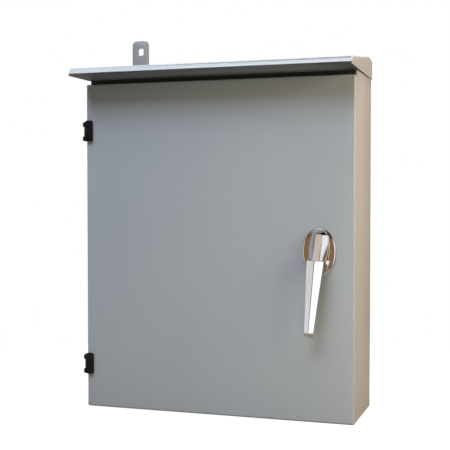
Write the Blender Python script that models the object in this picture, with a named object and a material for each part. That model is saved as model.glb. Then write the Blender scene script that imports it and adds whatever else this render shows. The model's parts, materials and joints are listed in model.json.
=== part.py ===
"""Automatic transfer switch in a hooded wall enclosure.

Metres, +Z up. The wall is the plane Y = 0, the door faces -Y, and the origin is the middle of the
cabinet's back. +X is the viewer's right.
"""

import bmesh
import bpy
from math import cos, pi, radians, sin
from mathutils import Matrix, Vector

# Driving dimensions -----------------------------------------------------------------------------

GAP = 0.0003            # between pieces that touch
SHEET = 0.0015          # cabinet and door steel

BODY_W = 0.500
BODY_H = 0.608
BODY_D = 0.1365         # wall to the front flange
DOOR_H = 0.595
DOOR_T = 0.0245         # door front to front flange
FLANGE = 0.022          # front flange, seen from the front
RAIN_LIP = 0.012        # forward turned lip round the opening

HOOD_REACH = 0.060      # in front of the door
HOOD_LIP_TOP = 0.6195   # heights over the cabinet's bottom
HOOD_LIP_BOTTOM = 0.6085
HOOD_CHEEK_BOTTOM = 0.6045
HOOD_RIDGE = 0.6417
HOOD_BACK = 0.6375
HOOD_HALF_BACK = 0.2518
HOOD_HALF_FRONT = 0.2560
HOOD_CHAMFER = (0.007, 0.0055)
RIDGE_Y = -0.034        # depths of the roof's ridge and of its back edge
HOOD_BACK_Y = -0.0005

TAB_X = -0.2093
TAB_W = 0.0347
TAB_T = 0.003
TAB_TOP = 0.6978        # over the cabinet's bottom
TAB_SLOT_HEIGHT = 0.6759

STUD_AT = (0.205, 0.250)        # mounting plate's studs, to each side of the middle
STUD_R = 0.0039
WALL_HOLE_AT = (0.222, 0.275)
WALL_HOLE_R = 0.0045
GLAND_CUT_X = 0.150
GLAND_Y = -0.072
GLAND_CUT_HALF = 0.040
GROMMET_X = (-0.100, 0.0, 0.100)
GROMMET_R = 0.031

HINGE_H = 0.0384
HINGE_HEIGHTS = (("upper", 0.5098), ("lower", 0.0795))
HINGE_X = -0.2536
EYE_R = 0.0032
PIN_R = 0.0014
PIN_BORE = 0.00175

HANDLE_X = 0.1896
HANDLE_HEIGHT = 0.294
HANDLE_TILT = radians(4.6)
HANDLE_TURN = radians(85)
OVAL = (0.0286, 0.0411) # half width and half height of the handle's plate
NECK_R = 0.0100
SHANK_HALF = 0.0042
CAM_Y = -0.1330         # front face of the latch cam
CAM_T = 0.003
CAM_R = 0.0245
ROD_T = 0.003
ROD_CRANK = 0.020       # cam pin's distance from the handle's axis
ROD_OFFSET = 0.85 * ROD_CRANK
GUIDE_DISTANCE = 0.130  # rod guides over and under the handle's axis
POCKET_X = (-0.125, 0.085)
POCKET_Z = (-0.255, -0.105)
POCKET_D = 0.024

PLATE_W = 0.440
PLATE_H = 0.540
PLATE_T = 0.0025
PLATE_STANDOFF = 0.016

SWITCH_X = -0.0375      # middle of the three poles
POLE_PITCH = 0.075
POLES = (-1, 0, 1)
BARRIER_T = 0.003
SWITCH_H = 0.230
SHAFT_STANDOFF = 0.062
SHAFT_R = 0.008
SHAFT_SWING = radians(25)
ARM_L = 0.038
CRANK_L = 0.018
BASE_D = 0.018
BARRIER_Y = -0.106      # front edge of the barriers
SOLENOID_X = 0.118
YOKE_Z = (-0.125, -0.040)

RAIL_Z = 0.200
RAIL_D = 0.0075
RAIL_X = (-0.208, 0.212)
CONTROLLER_X = (-0.196, -0.066)
CONTROLLER_Z = (0.136, 0.240)
CONTROLLER_D = 0.058
RELAY_X = (-0.052, -0.018)
BREAKER_X = (-0.006, 0.030)
STRIP_X = (0.050, 0.206)
TERMINAL_PITCH = 0.012
NEUTRAL_X = (-0.060, 0.070)
NEUTRAL_Z = -0.205
GROUND_X = (0.020, 0.190)
GROUND_Z = -0.248
BAR_HALF = 0.0065
TRANSFORMER_X = (-0.200, -0.124)
TRANSFORMER_Z = (-0.252, -0.190)
HARNESS_ROUTE = ((0.1420, -0.0520, 0.1725), (0.1420, -0.0525, 0.1600), (0.1460, -0.0480, 0.1480),
                 (0.1600, -0.0400, 0.1380), (0.1740, -0.0340, 0.1240), (0.1780, -0.0310, 0.0900),
                 (0.1780, -0.0310, 0.0400), (0.1780, -0.0310, -0.0200), (0.1770, -0.0330, -0.0550),
                 (0.1700, -0.0420, -0.0760), (0.1585, -0.0520, -0.0830), (0.1470, -0.0560, -0.0835))
HARNESS_R = 0.0040

# Derived places ---------------------------------------------------------------------------------

Z0 = -BODY_H / 2
Z_TOP = BODY_H / 2
X1 = BODY_W / 2
Y_FLANGE = -BODY_D
Y_FRONT = -BODY_D - DOOR_T
Y_SKIN = Y_FRONT + SHEET
OPEN_X = X1 - FLANGE - SHEET
OPEN_LOW = Z0 + FLANGE + SHEET
OPEN_HIGH = Z0 + DOOR_H - FLANGE - SHEET
PIVOT_Y = Y_FRONT + 0.0025
HANDLE_Z = Z0 + HANDLE_HEIGHT
Y_PLATE = -PLATE_STANDOFF - PLATE_T
Y_DEVICE = Y_PLATE - GAP
SHAFT = Vector((SWITCH_X, -SHAFT_STANDOFF, 0.0))
SOLENOID_Y = SHAFT.y - CRANK_L * 0.96
BASE_REACH = 1.5 * POLE_PITCH + BARRIER_T / 2
RAIL_FRONT = Y_DEVICE - RAIL_D
WEB_Y = Y_FLANGE - 0.002        # front of the upright web that closes the hood over the cabinet
ROD_Y = CAM_Y + CAM_T + GAP     # front face of the latch rods
PIN_ANGLE = HANDLE_TURN / 2
CORNERS = ((-1, -1), (1, -1), (-1, 1), (1, 1))

# Building blocks --------------------------------------------------------------------------------

for old in list(bpy.data.objects):
    bpy.data.objects.remove(old, do_unlink=True)

COLOURS = {
    "grey_paint": ((0.33, 0.35, 0.37), 0.42, 0.0),
    "black_hinge": ((0.012, 0.012, 0.013), 0.38, 0.0),
    "zinc": ((0.62, 0.63, 0.65), 0.34, 1.0),
    "chrome": ((0.86, 0.86, 0.87), 0.08, 1.0),
    "rubber": ((0.015, 0.015, 0.016), 0.75, 0.0),
    "copper": ((0.80, 0.42, 0.26), 0.28, 1.0),
    "tin": ((0.66, 0.66, 0.64), 0.32, 1.0),
    "brass": ((0.72, 0.55, 0.25), 0.30, 1.0),
    "dark_moulding": ((0.035, 0.036, 0.040), 0.50, 0.0),
    "red_moulding": ((0.30, 0.045, 0.030), 0.45, 0.0),
    "grey_moulding": ((0.42, 0.43, 0.44), 0.48, 0.0),
    "white_moulding": ((0.72, 0.72, 0.70), 0.42, 0.0),
    "green_moulding": ((0.06, 0.30, 0.12), 0.42, 0.0),
    "clear_pocket": ((0.70, 0.71, 0.70), 0.35, 0.0),
    "winding": ((0.45, 0.20, 0.06), 0.40, 0.0),
    "cable": ((0.02, 0.02, 0.02), 0.55, 0.0),
}


def material(slot):
    """One Principled material for each colour name."""
    found = bpy.data.materials.get(slot)
    if found:
        return found
    made = bpy.data.materials.new(slot)
    made.use_nodes = True
    shader = made.node_tree.nodes["Principled BSDF"]
    colour, rough, metal = COLOURS[slot]
    shader.inputs["Base Color"].default_value = (*colour, 1.0)
    shader.inputs["Roughness"].default_value = rough
    shader.inputs["Metallic"].default_value = metal
    made.diffuse_color = (*colour, 1.0)
    return made


def add_object(name, bm, slot=None, smooth=False):
    """Turn a bmesh in world coordinates into an object whose faces point out."""
    bmesh.ops.recalc_face_normals(bm, faces=bm.faces)
    mesh = bpy.data.meshes.new(name)
    bm.to_mesh(mesh)
    bm.free()
    if smooth:
        mesh.shade_smooth()
        mesh.set_sharp_from_angle(angle=radians(35))
    obj = bpy.data.objects.new(name, mesh)
    bpy.context.collection.objects.link(obj)
    if slot:
        mesh.materials.append(material(slot))
    return obj


def box(name, x, y, z, slot=None):
    """A block between two x, two y and two z values."""
    bm = bmesh.new()
    bmesh.ops.create_cube(bm, size=1.0)
    for axis, (low, high) in enumerate((sorted(x), sorted(y), sorted(z))):
        for vert in bm.verts:
            vert.co[axis] = low if vert.co[axis] < 0 else high
    return add_object(name, bm, slot)


def place(axis, along, a, b):
    """A point from its place along an axis and its two cross coordinates in x, y, z order."""
    return {"X": (along, a, b), "Y": (a, along, b), "Z": (a, b, along)}[axis]


def loft(name, rings, slot=None, smooth=False):
    """A closed solid through rings of equal length, capped at both ends."""
    bm = bmesh.new()
    rows = [[bm.verts.new(point) for point in ring] for ring in rings]
    count = len(rows[0])
    for low, high in zip(rows, rows[1:]):
        for i in range(count):
            j = (i + 1) % count
            bm.faces.new((low[i], low[j], high[j], high[i]))
    bm.faces.new(rows[0])
    bm.faces.new(rows[-1])
    return add_object(name, bm, slot, smooth)


def prism(name, axis, span, outline, slot=None, smooth=False):
    """An outline pushed along an axis; its points are the two other coordinates in x, y, z order."""
    return loft(name, [[place(axis, end, a, b) for a, b in outline] for end in span], slot, smooth)


def circle(centre, radius, sides=24, start=0.0):
    """Points of a round outline."""
    return [(centre[0] + radius * cos(start + 2 * pi * i / sides),
             centre[1] + radius * sin(start + 2 * pi * i / sides)) for i in range(sides)]


def disc(name, axis, span, centre, radius, slot=None, sides=24):
    """A round bar."""
    return prism(name, axis, span, circle(centre, radius, sides), slot, smooth=True)


def boolean(target, operation, tools):
    """Union or cut with hidden tool objects."""
    for tool in tools:
        step = target.modifiers.new(f"{operation.lower()}_{tool.name}"[:60], "BOOLEAN")
        step.operation = operation
        step.object = tool
        tool.hide_render = True
        tool.display_type = "WIRE"
    return target


def join(target, *tools):
    return boolean(target, "UNION", tools)


def cut(target, *tools):
    return boolean(target, "DIFFERENCE", tools)


def axle(name, at, pieces):
    """An empty on a joint's axis that carries the pieces which turn or slide there."""
    empty = bpy.data.objects.new(name, None)
    empty.empty_display_size = 0.02
    empty.location = at
    bpy.context.collection.objects.link(empty)
    for piece in pieces:
        piece.parent = empty
        piece.matrix_parent_inverse = Matrix.Translation(-Vector(at))
    return empty


# Cabinet ----------------------------------------------------------------------------------------

def cabinet_body():
    """Welded box: open front with an inward flange and a forward rain lip, studs and holes."""
    body = box("enclosure_body", (-X1, X1), (Y_FLANGE, 0), (Z0, Z_TOP), "grey_paint")
    lip = box("lip_outer", (-OPEN_X - SHEET, OPEN_X + SHEET), (Y_FLANGE - RAIN_LIP, Y_FLANGE + SHEET / 2),
              (OPEN_LOW - SHEET, OPEN_HIGH + SHEET))
    cavity = box("cavity", (-X1 + SHEET, X1 - SHEET), (Y_FLANGE + SHEET, -SHEET),
                 (Z0 + SHEET, Z_TOP - SHEET))
    opening = box("opening", (-OPEN_X, OPEN_X), (Y_FLANGE - 0.02, Y_FLANGE + 0.01),
                  (OPEN_LOW, OPEN_HIGH))
    gland = box("gland_cut", (-GLAND_CUT_X, GLAND_CUT_X),
                (GLAND_Y - GLAND_CUT_HALF, GLAND_Y + GLAND_CUT_HALF), (Z0 - 0.01, Z0 + 0.01))
    join(body, lip)
    cut(body, cavity, opening, gland)
    for i, (sx, sz) in enumerate(CORNERS):
        stud = disc(f"stud_{i}", "Y", (-0.030, -SHEET / 2), (sx * STUD_AT[0], sz * STUD_AT[1]), STUD_R,
                    sides=12)
        hole = disc(f"wall_hole_{i}", "Y", (-0.01, 0.01), (sx * WALL_HOLE_AT[0], sz * WALL_HOLE_AT[1]),
                    WALL_HOLE_R, sides=12)
        join(body, stud)
        cut(body, hole)
    return body


def hood_ring(y, top, inset=0.0, drop=0.0):
    """Cross-section of the hood at one depth: cheeks, chamfered bends and roof."""
    depth = (0.0 - y) / (0.0 - (Y_FRONT - HOOD_REACH))
    half = HOOD_HALF_BACK + (HOOD_HALF_FRONT - HOOD_HALF_BACK) * depth - inset
    run, fall = HOOD_CHAMFER
    top = Z0 + top - inset
    bottom = Z0 + HOOD_CHEEK_BOTTOM - drop
    edge = inset * 0.4
    return [(-half, y, bottom), (-half, y, top - fall + edge), (-half + run - edge, y, top),
            (half - run + edge, y, top), (half, y, top - fall + edge), (half, y, bottom)]


def roof_height(y):
    """Roof height over the cabinet's bottom between the front lip and the ridge."""
    share = (y - (Y_FRONT - HOOD_REACH)) / (RIDGE_Y - (Y_FRONT - HOOD_REACH))
    return HOOD_LIP_TOP + (HOOD_RIDGE - HOOD_LIP_TOP) * share


def rain_hood():
    """Folded hood: roof, lip and cheeks, with a web behind the door's top and a rear wall."""
    front = Y_FRONT - HOOD_REACH
    hood = loft("rain_hood", [hood_ring(front, HOOD_LIP_TOP), hood_ring(RIDGE_Y, HOOD_RIDGE),
                              hood_ring(HOOD_BACK_Y, HOOD_BACK)], "grey_paint")
    porch = loft("porch", [hood_ring(front + SHEET, roof_height(front + SHEET), SHEET, 0.02),
                           hood_ring(WEB_Y, roof_height(WEB_Y), SHEET, 0.02)])
    attic = loft("attic", [hood_ring(WEB_Y + SHEET, roof_height(WEB_Y + SHEET), SHEET, 0.02),
                           hood_ring(RIDGE_Y, HOOD_RIDGE, SHEET, 0.02),
                           hood_ring(HOOD_BACK_Y - SHEET, HOOD_BACK + 0.0002, SHEET, 0.02)])
    seat = box("hood_seat", (-X1 - GAP, X1 + GAP), (Y_FLANGE - GAP, 0.01), (Z0 + 0.58, Z_TOP + GAP))
    lip = box("lip_cut", (-0.2542, 0.2542), (front - 0.01, front + 0.01),
              (Z0 + 0.59, Z0 + HOOD_LIP_BOTTOM))
    notch = box("tab_notch", (TAB_X - TAB_W / 2 - 0.0012, TAB_X + TAB_W / 2 + 0.0012),
                (-0.0046, 0.01), (Z0 + 0.60, Z0 + 0.66))
    return cut(hood, porch, attic, seat, lip, notch)


def rain_seal():
    """Black rubber strip over the door's top edge, stuck to the front flange."""
    y = Y_FLANGE - GAP
    low, high = Z0 + 0.5962, Z0 + 0.6040
    outline = [(y, low), (y, high), (y - 0.0080, high), (y - 0.0120, high - 0.0030),
               (y - 0.0120, low), (y - 0.0085, low + 0.0030), (y - 0.0035, low + 0.0030)]
    return prism("rain_seal", "X", (-X1 + 0.0003, X1 - 0.0003), outline, "rubber")


def hanging_tab():
    """Bent tab: an upright plate with rounded corners and a slot, on a foot under the hood."""
    low, high = Z_TOP + GAP, Z0 + TAB_TOP
    half, r = TAB_W / 2, 0.009
    arc_r = [(TAB_X + half - r + r * cos(a), high - r + r * sin(a))
             for a in (radians(d) for d in (0, 22, 45, 68, 90))]
    arc_l = [(TAB_X - half + r + r * cos(a), high - r + r * sin(a))
             for a in (radians(d) for d in (90, 112, 135, 158, 180))]
    outline = [(TAB_X - half, low), (TAB_X + half, low)] + arc_r + arc_l
    y = -0.0006
    tab = prism("hanging_tab", "Y", (y - TAB_T, y), outline, "grey_paint")
    foot = box("tab_foot", (TAB_X - half, TAB_X + half), (y - 0.026, y - TAB_T / 2),
               (low, low + TAB_T))
    slot_z = Z0 + TAB_SLOT_HEIGHT
    slot = [(TAB_X + 0.0008 + a, slot_z + b) for a, b in
            ((-0.0057, -0.0040), (-0.0030, -0.0070), (0.0030, -0.0070), (0.0057, -0.0040),
             (0.0057, 0.0040), (0.0030, 0.0070), (-0.0030, 0.0070), (-0.0057, 0.0040))]
    hole = prism("tab_slot", "Y", (-0.02, 0.01), slot)
    bolt = disc("tab_bolt_hole", "Z", (low - 0.01, low + 0.01), (TAB_X, y - 0.016), 0.0034, sides=12)
    join(tab, foot)
    return cut(tab, hole, bolt)


def gland_plate_parts():
    """Cable entry plate over the bottom cut-out, with three rubber grommets."""
    low = Z0 + SHEET + GAP
    y, rim = GLAND_Y, 0.014
    half = GLAND_CUT_HALF + 0.012
    plate = box("gland_plate", (-GLAND_CUT_X - rim, GLAND_CUT_X + rim), (y - half, y + half),
                (low, low + 0.002), "zinc")
    for i, x in enumerate(GROMMET_X, start=1):
        hole_r, neck_r, bowl_r = GROMMET_R - 0.0045, GROMMET_R - 0.005, GROMMET_R - 0.008
        cut(plate, disc(f"gland_hole_{i}", "Z", (low - 0.01, low + 0.01), (x, y), hole_r, sides=24))
        grommet = disc(f"cable_grommet_{i}", "Z", (low + 0.002 + GAP, low + 0.006), (x, y), GROMMET_R,
                       "rubber", sides=24)
        neck = disc(f"grommet_neck_{i}", "Z", (low - 0.0045, low + 0.004), (x, y), neck_r, sides=24)
        bowl = disc(f"grommet_bowl_{i}", "Z", (low - 0.002, low + 0.01), (x, y), bowl_r, sides=24)
        join(grommet, neck)
        cut(grommet, bowl)


def sub_panel():
    """Mounting plate on the four studs, with edges turned forward top and bottom."""
    y = (-PLATE_STANDOFF, Y_PLATE)
    half_w, half_h = PLATE_W / 2, PLATE_H / 2
    plate = box("sub_panel", (-half_w, half_w), y, (-half_h, half_h), "zinc")
    for i, sign in enumerate((-1, 1)):
        fold = box(f"panel_fold_{i}", (-half_w, half_w), (Y_PLATE - 0.010, -PLATE_STANDOFF - 0.001),
                   (sign * half_h, sign * (half_h - 0.002)))
        join(plate, fold)
    for i, (sx, sz) in enumerate(CORNERS):
        cut(plate, disc(f"panel_hole_{i}", "Y", (-0.03, -0.01), (sx * STUD_AT[0], sz * STUD_AT[1]),
                        STUD_R + 0.0009, sides=12))
    return plate


# Door and hinges --------------------------------------------------------------------------------

def door_panel():
    """Folded door pan with the hole for the handle's neck."""
    top = Z0 + DOOR_H
    door = box("door_panel", (-X1, X1), (Y_FRONT, Y_FLANGE - GAP), (Z0, top), "grey_paint")
    pan = box("door_pan", (-X1 + SHEET, X1 - SHEET), (Y_SKIN, Y_FLANGE + 0.01),
              (Z0 + SHEET, top - SHEET))
    hole = disc("neck_hole", "Y", (Y_FRONT - 0.01, Y_SKIN + 0.01), (HANDLE_X, HANDLE_Z), NECK_R + 0.0004)
    return cut(door, pan, hole)


def door_gasket():
    """Foam ring on the door's inside, pressed by the rain lip."""
    half, rim = OPEN_X + SHEET / 2, 0.0075
    low, high = OPEN_LOW - SHEET / 2, OPEN_HIGH + SHEET / 2
    y = (Y_SKIN + GAP, Y_FLANGE - RAIN_LIP - GAP)
    ring = box("door_gasket", (-half - rim, half + rim), y, (low - rim, high + rim), "rubber")
    hole = box("gasket_hole", (-half + rim, half - rim), (Y_FRONT, Y_FLANGE), (low + rim, high - rim))
    return cut(ring, hole)


def hinge(tag, height):
    """Block hinge at the door's left edge: door leaf with two eyes, body bracket, pin."""
    z = Z0 + height
    half = HINGE_H / 2
    axis = (HINGE_X, PIVOT_Y)
    face = Y_FRONT - GAP
    leaf = prism(f"hinge_leaf_{tag}", "Z", (z - half, z + half),
                 [(-0.2510, face), (-0.2368, face), (-0.2368, face - 0.0045), (-0.2383, face - 0.006),
                  (-0.2498, face - 0.006), (-0.2510, face - 0.0045)], "black_hinge")
    bores = []
    for i, (low, high) in enumerate(((-0.0183, -0.0098), (0.0077, 0.0157))):
        eye = disc(f"eye_{tag}_{i}", "Z", (z + low, z + high), axis, EYE_R, sides=20)
        arm = box(f"eye_arm_{tag}_{i}", (HINGE_X - EYE_R * 0.7, -0.2490), (face - 0.0040, face),
                  (z + low, z + high))
        join(leaf, arm, eye)
        bores.append(disc(f"eye_bore_{tag}_{i}", "Z", (z + low - 0.002, z + high + 0.002), axis,
                          PIN_BORE, sides=16))
    cut(leaf, *bores)

    low, high = z - 0.0095, z + 0.0074
    side = (-X1 - GAP - 0.0025, -X1 - GAP)
    bracket = box(f"hinge_bracket_{tag}", side, (Y_FLANGE + 0.003, Y_FLANGE + 0.030),
                  (z - half + 0.002, z + half - 0.002), "zinc")
    arm = box(f"bracket_arm_{tag}", side, (PIVOT_Y, Y_FLANGE + 0.004), (low, high))
    knuckle = disc(f"knuckle_{tag}", "Z", (low, high), axis, 0.0029, sides=20)
    join(bracket, arm, knuckle)
    cut(bracket, disc(f"knuckle_bore_{tag}", "Z", (low - 0.002, high + 0.002), axis, PIN_BORE, sides=16))

    pin = disc(f"hinge_pin_{tag}", "Z", (z - 0.0185, z + 0.0168), axis, PIN_R, "zinc", sides=16)
    head = disc(f"pin_head_{tag}", "Z", (z + 0.0160, z + 0.0178), axis, 0.0024, sides=16)
    join(pin, head)
    return leaf


# Handle and latch -------------------------------------------------------------------------------

def handle_point(x, z):
    """A point of the untilted handle, turned to the resting tilt, in world x and z."""
    return (HANDLE_X + x * cos(HANDLE_TILT) + z * sin(HANDLE_TILT),
            HANDLE_Z - x * sin(HANDLE_TILT) + z * cos(HANDLE_TILT))


def escutcheon():
    """Oval plate on the door with a threaded neck through it."""
    face = Y_FRONT - GAP
    oval, small = ([(HANDLE_X + (OVAL[0] - inset) * cos(a), HANDLE_Z + (OVAL[1] - inset) * sin(a))
                    for a in (2 * pi * i / 40 for i in range(40))] for inset in (0.0, 0.0030))
    rings = [[(x, y, z) for x, z in ring]
             for y, ring in ((face, oval), (face - 0.0018, oval), (face - 0.0038, small))]
    plate = loft("handle_escutcheon", rings, "chrome", smooth=True)
    centre = (HANDLE_X, HANDLE_Z)
    neck = disc("neck", "Y", (face - 0.001, Y_SKIN + 0.0145), centre, NECK_R)
    bore = disc("neck_bore", "Y", (Y_FRONT - 0.02, Y_SKIN + 0.03), centre, 0.0070)
    join(plate, neck)
    cut(plate, bore)
    nut = disc("handle_nut", "Y", (Y_SKIN + GAP, Y_SKIN + 0.0065), centre, 0.0165, "zinc", sides=6)
    cut(nut, disc("nut_bore", "Y", (Y_SKIN - 0.01, Y_SKIN + 0.02), centre, NECK_R + 0.0004))


def handle_lever():
    """L-handle: the lever's profile crossed with its front outline, and a round-cornered shank."""
    face = Y_FRONT - 0.0045
    profile = [(0.0, 0.0385), (-0.0040, 0.0385), (-0.0320, -0.0130), (-0.0350, -0.1380),
               (-0.0320, -0.1430), (-0.0260, -0.1430), (-0.0225, -0.0450), (-0.0185, -0.0260),
               (-0.0060, -0.0195), (0.0, -0.0195)]
    half_widths = ((0.0385, 0.0085), (0.030, 0.0140), (0.010, 0.0163), (-0.013, 0.0147),
                   (-0.1430, 0.0077))
    right = [(w, z) for z, w in half_widths]
    left = [(-w, z) for z, w in reversed(half_widths)]
    outline = [handle_point(x, z) for x, z in right + left]
    lever = prism("handle_lever", "Y", (face - 0.05, face), outline, "chrome")
    side = prism("handle_side", "X", (HANDLE_X - 0.08, HANDLE_X + 0.08),
                 [(face + y, HANDLE_Z + z) for y, z in profile])
    boolean(lever, "INTERSECT", [side])
    shank = box("shank", (HANDLE_X - SHANK_HALF, HANDLE_X + SHANK_HALF), (face - 0.006, CAM_Y + 0.0060),
                (HANDLE_Z - SHANK_HALF, HANDLE_Z + SHANK_HALF))
    return join(lever, shank)


def latch_cam():
    """Cam on the shank: tongue towards the cabinet's edge and a crank pin for each rod."""
    span = (CAM_Y, CAM_Y + CAM_T)
    cam = prism("latch_cam", "Y", span,
                circle((HANDLE_X, HANDLE_Z), CAM_R, 24), "zinc")
    tongue = prism("cam_tongue", "Y", span,
                   [(HANDLE_X, HANDLE_Z - 0.011), (HANDLE_X + 0.028, HANDLE_Z - 0.008),
                    (HANDLE_X + 0.033, HANDLE_Z - 0.005), (HANDLE_X + 0.033, HANDLE_Z + 0.005),
                    (HANDLE_X + 0.028, HANDLE_Z + 0.008), (HANDLE_X, HANDLE_Z + 0.011)])
    join(cam, tongue)
    for i, angle in enumerate((PIN_ANGLE, PIN_ANGLE + pi)):
        at = (HANDLE_X + ROD_CRANK * cos(angle), HANDLE_Z + ROD_CRANK * sin(angle))
        join(cam, disc(f"crank_pin_{i}", "Y", (CAM_Y + 0.001, ROD_Y + ROD_T + 0.001), at, 0.0024, sides=16))
    hole = SHANK_HALF + 0.0004
    return cut(cam, box("shank_hole", (HANDLE_X - hole, HANDLE_X + hole), (CAM_Y - 0.01, CAM_Y + 0.01),
                        (HANDLE_Z - hole, HANDLE_Z + hole)))


def latch_rod(tag, sign, tip):
    """Flat rod from a slotted end over the cam's pin to a tapered tip just inside the flange."""
    x = HANDLE_X + sign * ROD_OFFSET
    pin_z = HANDLE_Z + sign * ROD_CRANK * sin(PIN_ANGLE)
    end = pin_z - sign * 0.0075
    span = (ROD_Y, ROD_Y + ROD_T)
    half = 0.0052
    outline = [(x - 0.0085, end), (x + 0.0085, end), (x + 0.0085, pin_z + sign * 0.009),
               (x + half, pin_z + sign * 0.018), (x + half, tip - sign * 0.012),
               (x + 0.0022, tip), (x - 0.0022, tip), (x - half, tip - sign * 0.012),
               (x - half, pin_z + sign * 0.018), (x - 0.0085, pin_z + sign * 0.009)]
    rod = prism(f"latch_rod_{tag}", "Y", span, outline, "zinc")
    slot = box(f"rod_slot_{tag}", (x - 0.0058, x + 0.0058), (ROD_Y - 0.01, ROD_Y + 0.01),
               (pin_z - 0.0033, pin_z + 0.0033))
    return cut(rod, slot)


def rod_guide(tag, sign, z):
    """Guide block on the door that the rod slides through."""
    x = HANDLE_X + sign * ROD_OFFSET
    back = ROD_Y + ROD_T + 0.0035
    guide = box(f"rod_guide_{tag}", (x - 0.0095, x + 0.0095), (Y_SKIN + GAP, back),
                (z - 0.007, z + 0.007), "dark_moulding")
    slot = box(f"guide_slot_{tag}", (x - 0.0056, x + 0.0056), (ROD_Y - 0.0005, ROD_Y + ROD_T + 0.0005),
               (z - 0.02, z + 0.02))
    return cut(guide, slot)


def document_pocket():
    """Open-topped pocket for papers on the door's inside."""
    x, z = POCKET_X, POCKET_Z
    y = (Y_SKIN + GAP, Y_SKIN + POCKET_D)
    wall = 0.0018
    pocket = box("document_pocket", x, y, z, "clear_pocket")
    hollow = box("pocket_hollow", (x[0] + wall, x[1] - wall), (y[0] + wall, y[1] - wall),
                 (z[0] + wall, z[1] + 0.01))
    scoop = prism("pocket_scoop", "Y", (y[1] - 0.004, y[1] + 0.004),
                  circle((sum(x) / 2, z[1] + 0.012), 0.045, 32))
    return cut(pocket, hollow, scoop)


# Transfer mechanism -----------------------------------------------------------------------------

def pole_x(index):
    return SWITCH_X + index * POLE_PITCH


def swing(angle, along, across=0.0):
    """Point at a distance from the shaft, forward and turned up by an angle, in world y and z."""
    return (SHAFT.y - along * cos(angle) - across * sin(angle),
            SHAFT.z + along * sin(angle) - across * cos(angle))


def switch_base():
    """Moulded base with four phase barriers that also carry the shaft."""
    half = SWITCH_H / 2
    base = box("switch_base", (SWITCH_X - BASE_REACH, SWITCH_X + BASE_REACH), (Y_DEVICE, Y_DEVICE - BASE_D),
               (-half, half), "red_moulding")
    for i in range(4):
        x = SWITCH_X + (i - 1.5) * POLE_PITCH
        join(base, prism(f"barrier_{i}", "X", (x - BARRIER_T / 2, x + BARRIER_T / 2),
                         [(Y_DEVICE - 0.01, -half), (BARRIER_Y + 0.011, -half), (BARRIER_Y, -half + 0.012),
                          (BARRIER_Y, half - 0.012), (BARRIER_Y + 0.011, half), (Y_DEVICE - 0.01, half)]))
    bore = disc("shaft_bore", "X", (SWITCH_X - 0.2, SWITCH_X + 0.2), (SHAFT.y, SHAFT.z), SHAFT_R + 0.0006)
    return cut(base, bore)


def arc_cover(tag, sign):
    """Moulded cover in front of one row of contacts, with vent slots for each pole."""
    low, high = sorted((sign * 0.026, sign * (SWITCH_H / 2 - 0.012)))
    cover = box(f"arc_cover_{tag}", (SWITCH_X - BASE_REACH, SWITCH_X + BASE_REACH),
                (BARRIER_Y - GAP, BARRIER_Y - 0.0045), (low, high), "dark_moulding")
    for index in POLES:
        for k in range(4):
            z = sign * (0.040 + 0.015 * k)
            cut(cover, box(f"vent_{tag}_{index + 1}_{k}", (pole_x(index) - 0.024, pole_x(index) + 0.024),
                           (-0.12, -0.10), (z - 0.003, z + 0.003)))
    return cover


def supply_terminal(kind, sign, number, x):
    """Fixed contact of one supply: nose over the moving arm, bar and clamp block in one."""
    def turned(along, across):
        y, z = swing(SHAFT_SWING, along, across)
        return (y, sign * z)

    nose = [turned(0.0290, -0.0046), turned(0.0380, -0.0046)]
    outline = nose + [(-0.1010, sign * 0.0240), (-0.1010, sign * 0.0900), (-0.0960, sign * 0.0940),
                      (-0.0960, sign * 0.1120), (-0.0700, sign * 0.1120), (-0.0700, sign * 0.0900),
                      (-0.0960, sign * 0.0860), (-0.0960, sign * 0.0290), turned(0.0290, -0.0080)]
    terminal = prism(f"{kind}_terminal_{number}", "X", (x - 0.012, x + 0.012), outline, "copper")
    entry = disc(f"{kind}_entry_{number}", "Z", (sign * 0.094, sign * 0.13), (x, -0.0840), 0.0075, sides=16)
    screw = disc(f"{kind}_screw_hole_{number}", "Y", (-0.11, -0.084), (x, sign * 0.1030), 0.0050, sides=16)
    return cut(terminal, entry, screw)


def load_terminal(number, x):
    """Load bar behind the moving arm, with its clamp block below the switch."""
    back = Y_DEVICE - BASE_D - GAP
    low = -SWITCH_H / 2 - 0.022
    bar = box(f"load_terminal_{number}", (x - 0.010, x + 0.010), (back, back - 0.004),
              (low + 0.002, -0.006), "copper")
    block = box(f"load_block_{number}", (x - 0.0125, x + 0.0125), (back + 0.006, back - 0.022),
                (low, -SWITCH_H / 2 - 0.0015))
    neck = box(f"load_neck_{number}", (x - 0.010, x + 0.010), (back, back - 0.010),
               (low + 0.002, -SWITCH_H / 2 + 0.006))
    entry = disc(f"load_entry_{number}", "Z", (low - 0.01, low + 0.017), (x, back - 0.008), 0.0075, sides=16)
    screw = disc(f"load_screw_hole_{number}", "Y", (back - 0.03, back - 0.008), (x, low + 0.010), 0.0045,
                 sides=16)
    join(bar, block, neck)
    return cut(bar, entry, screw)


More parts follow.
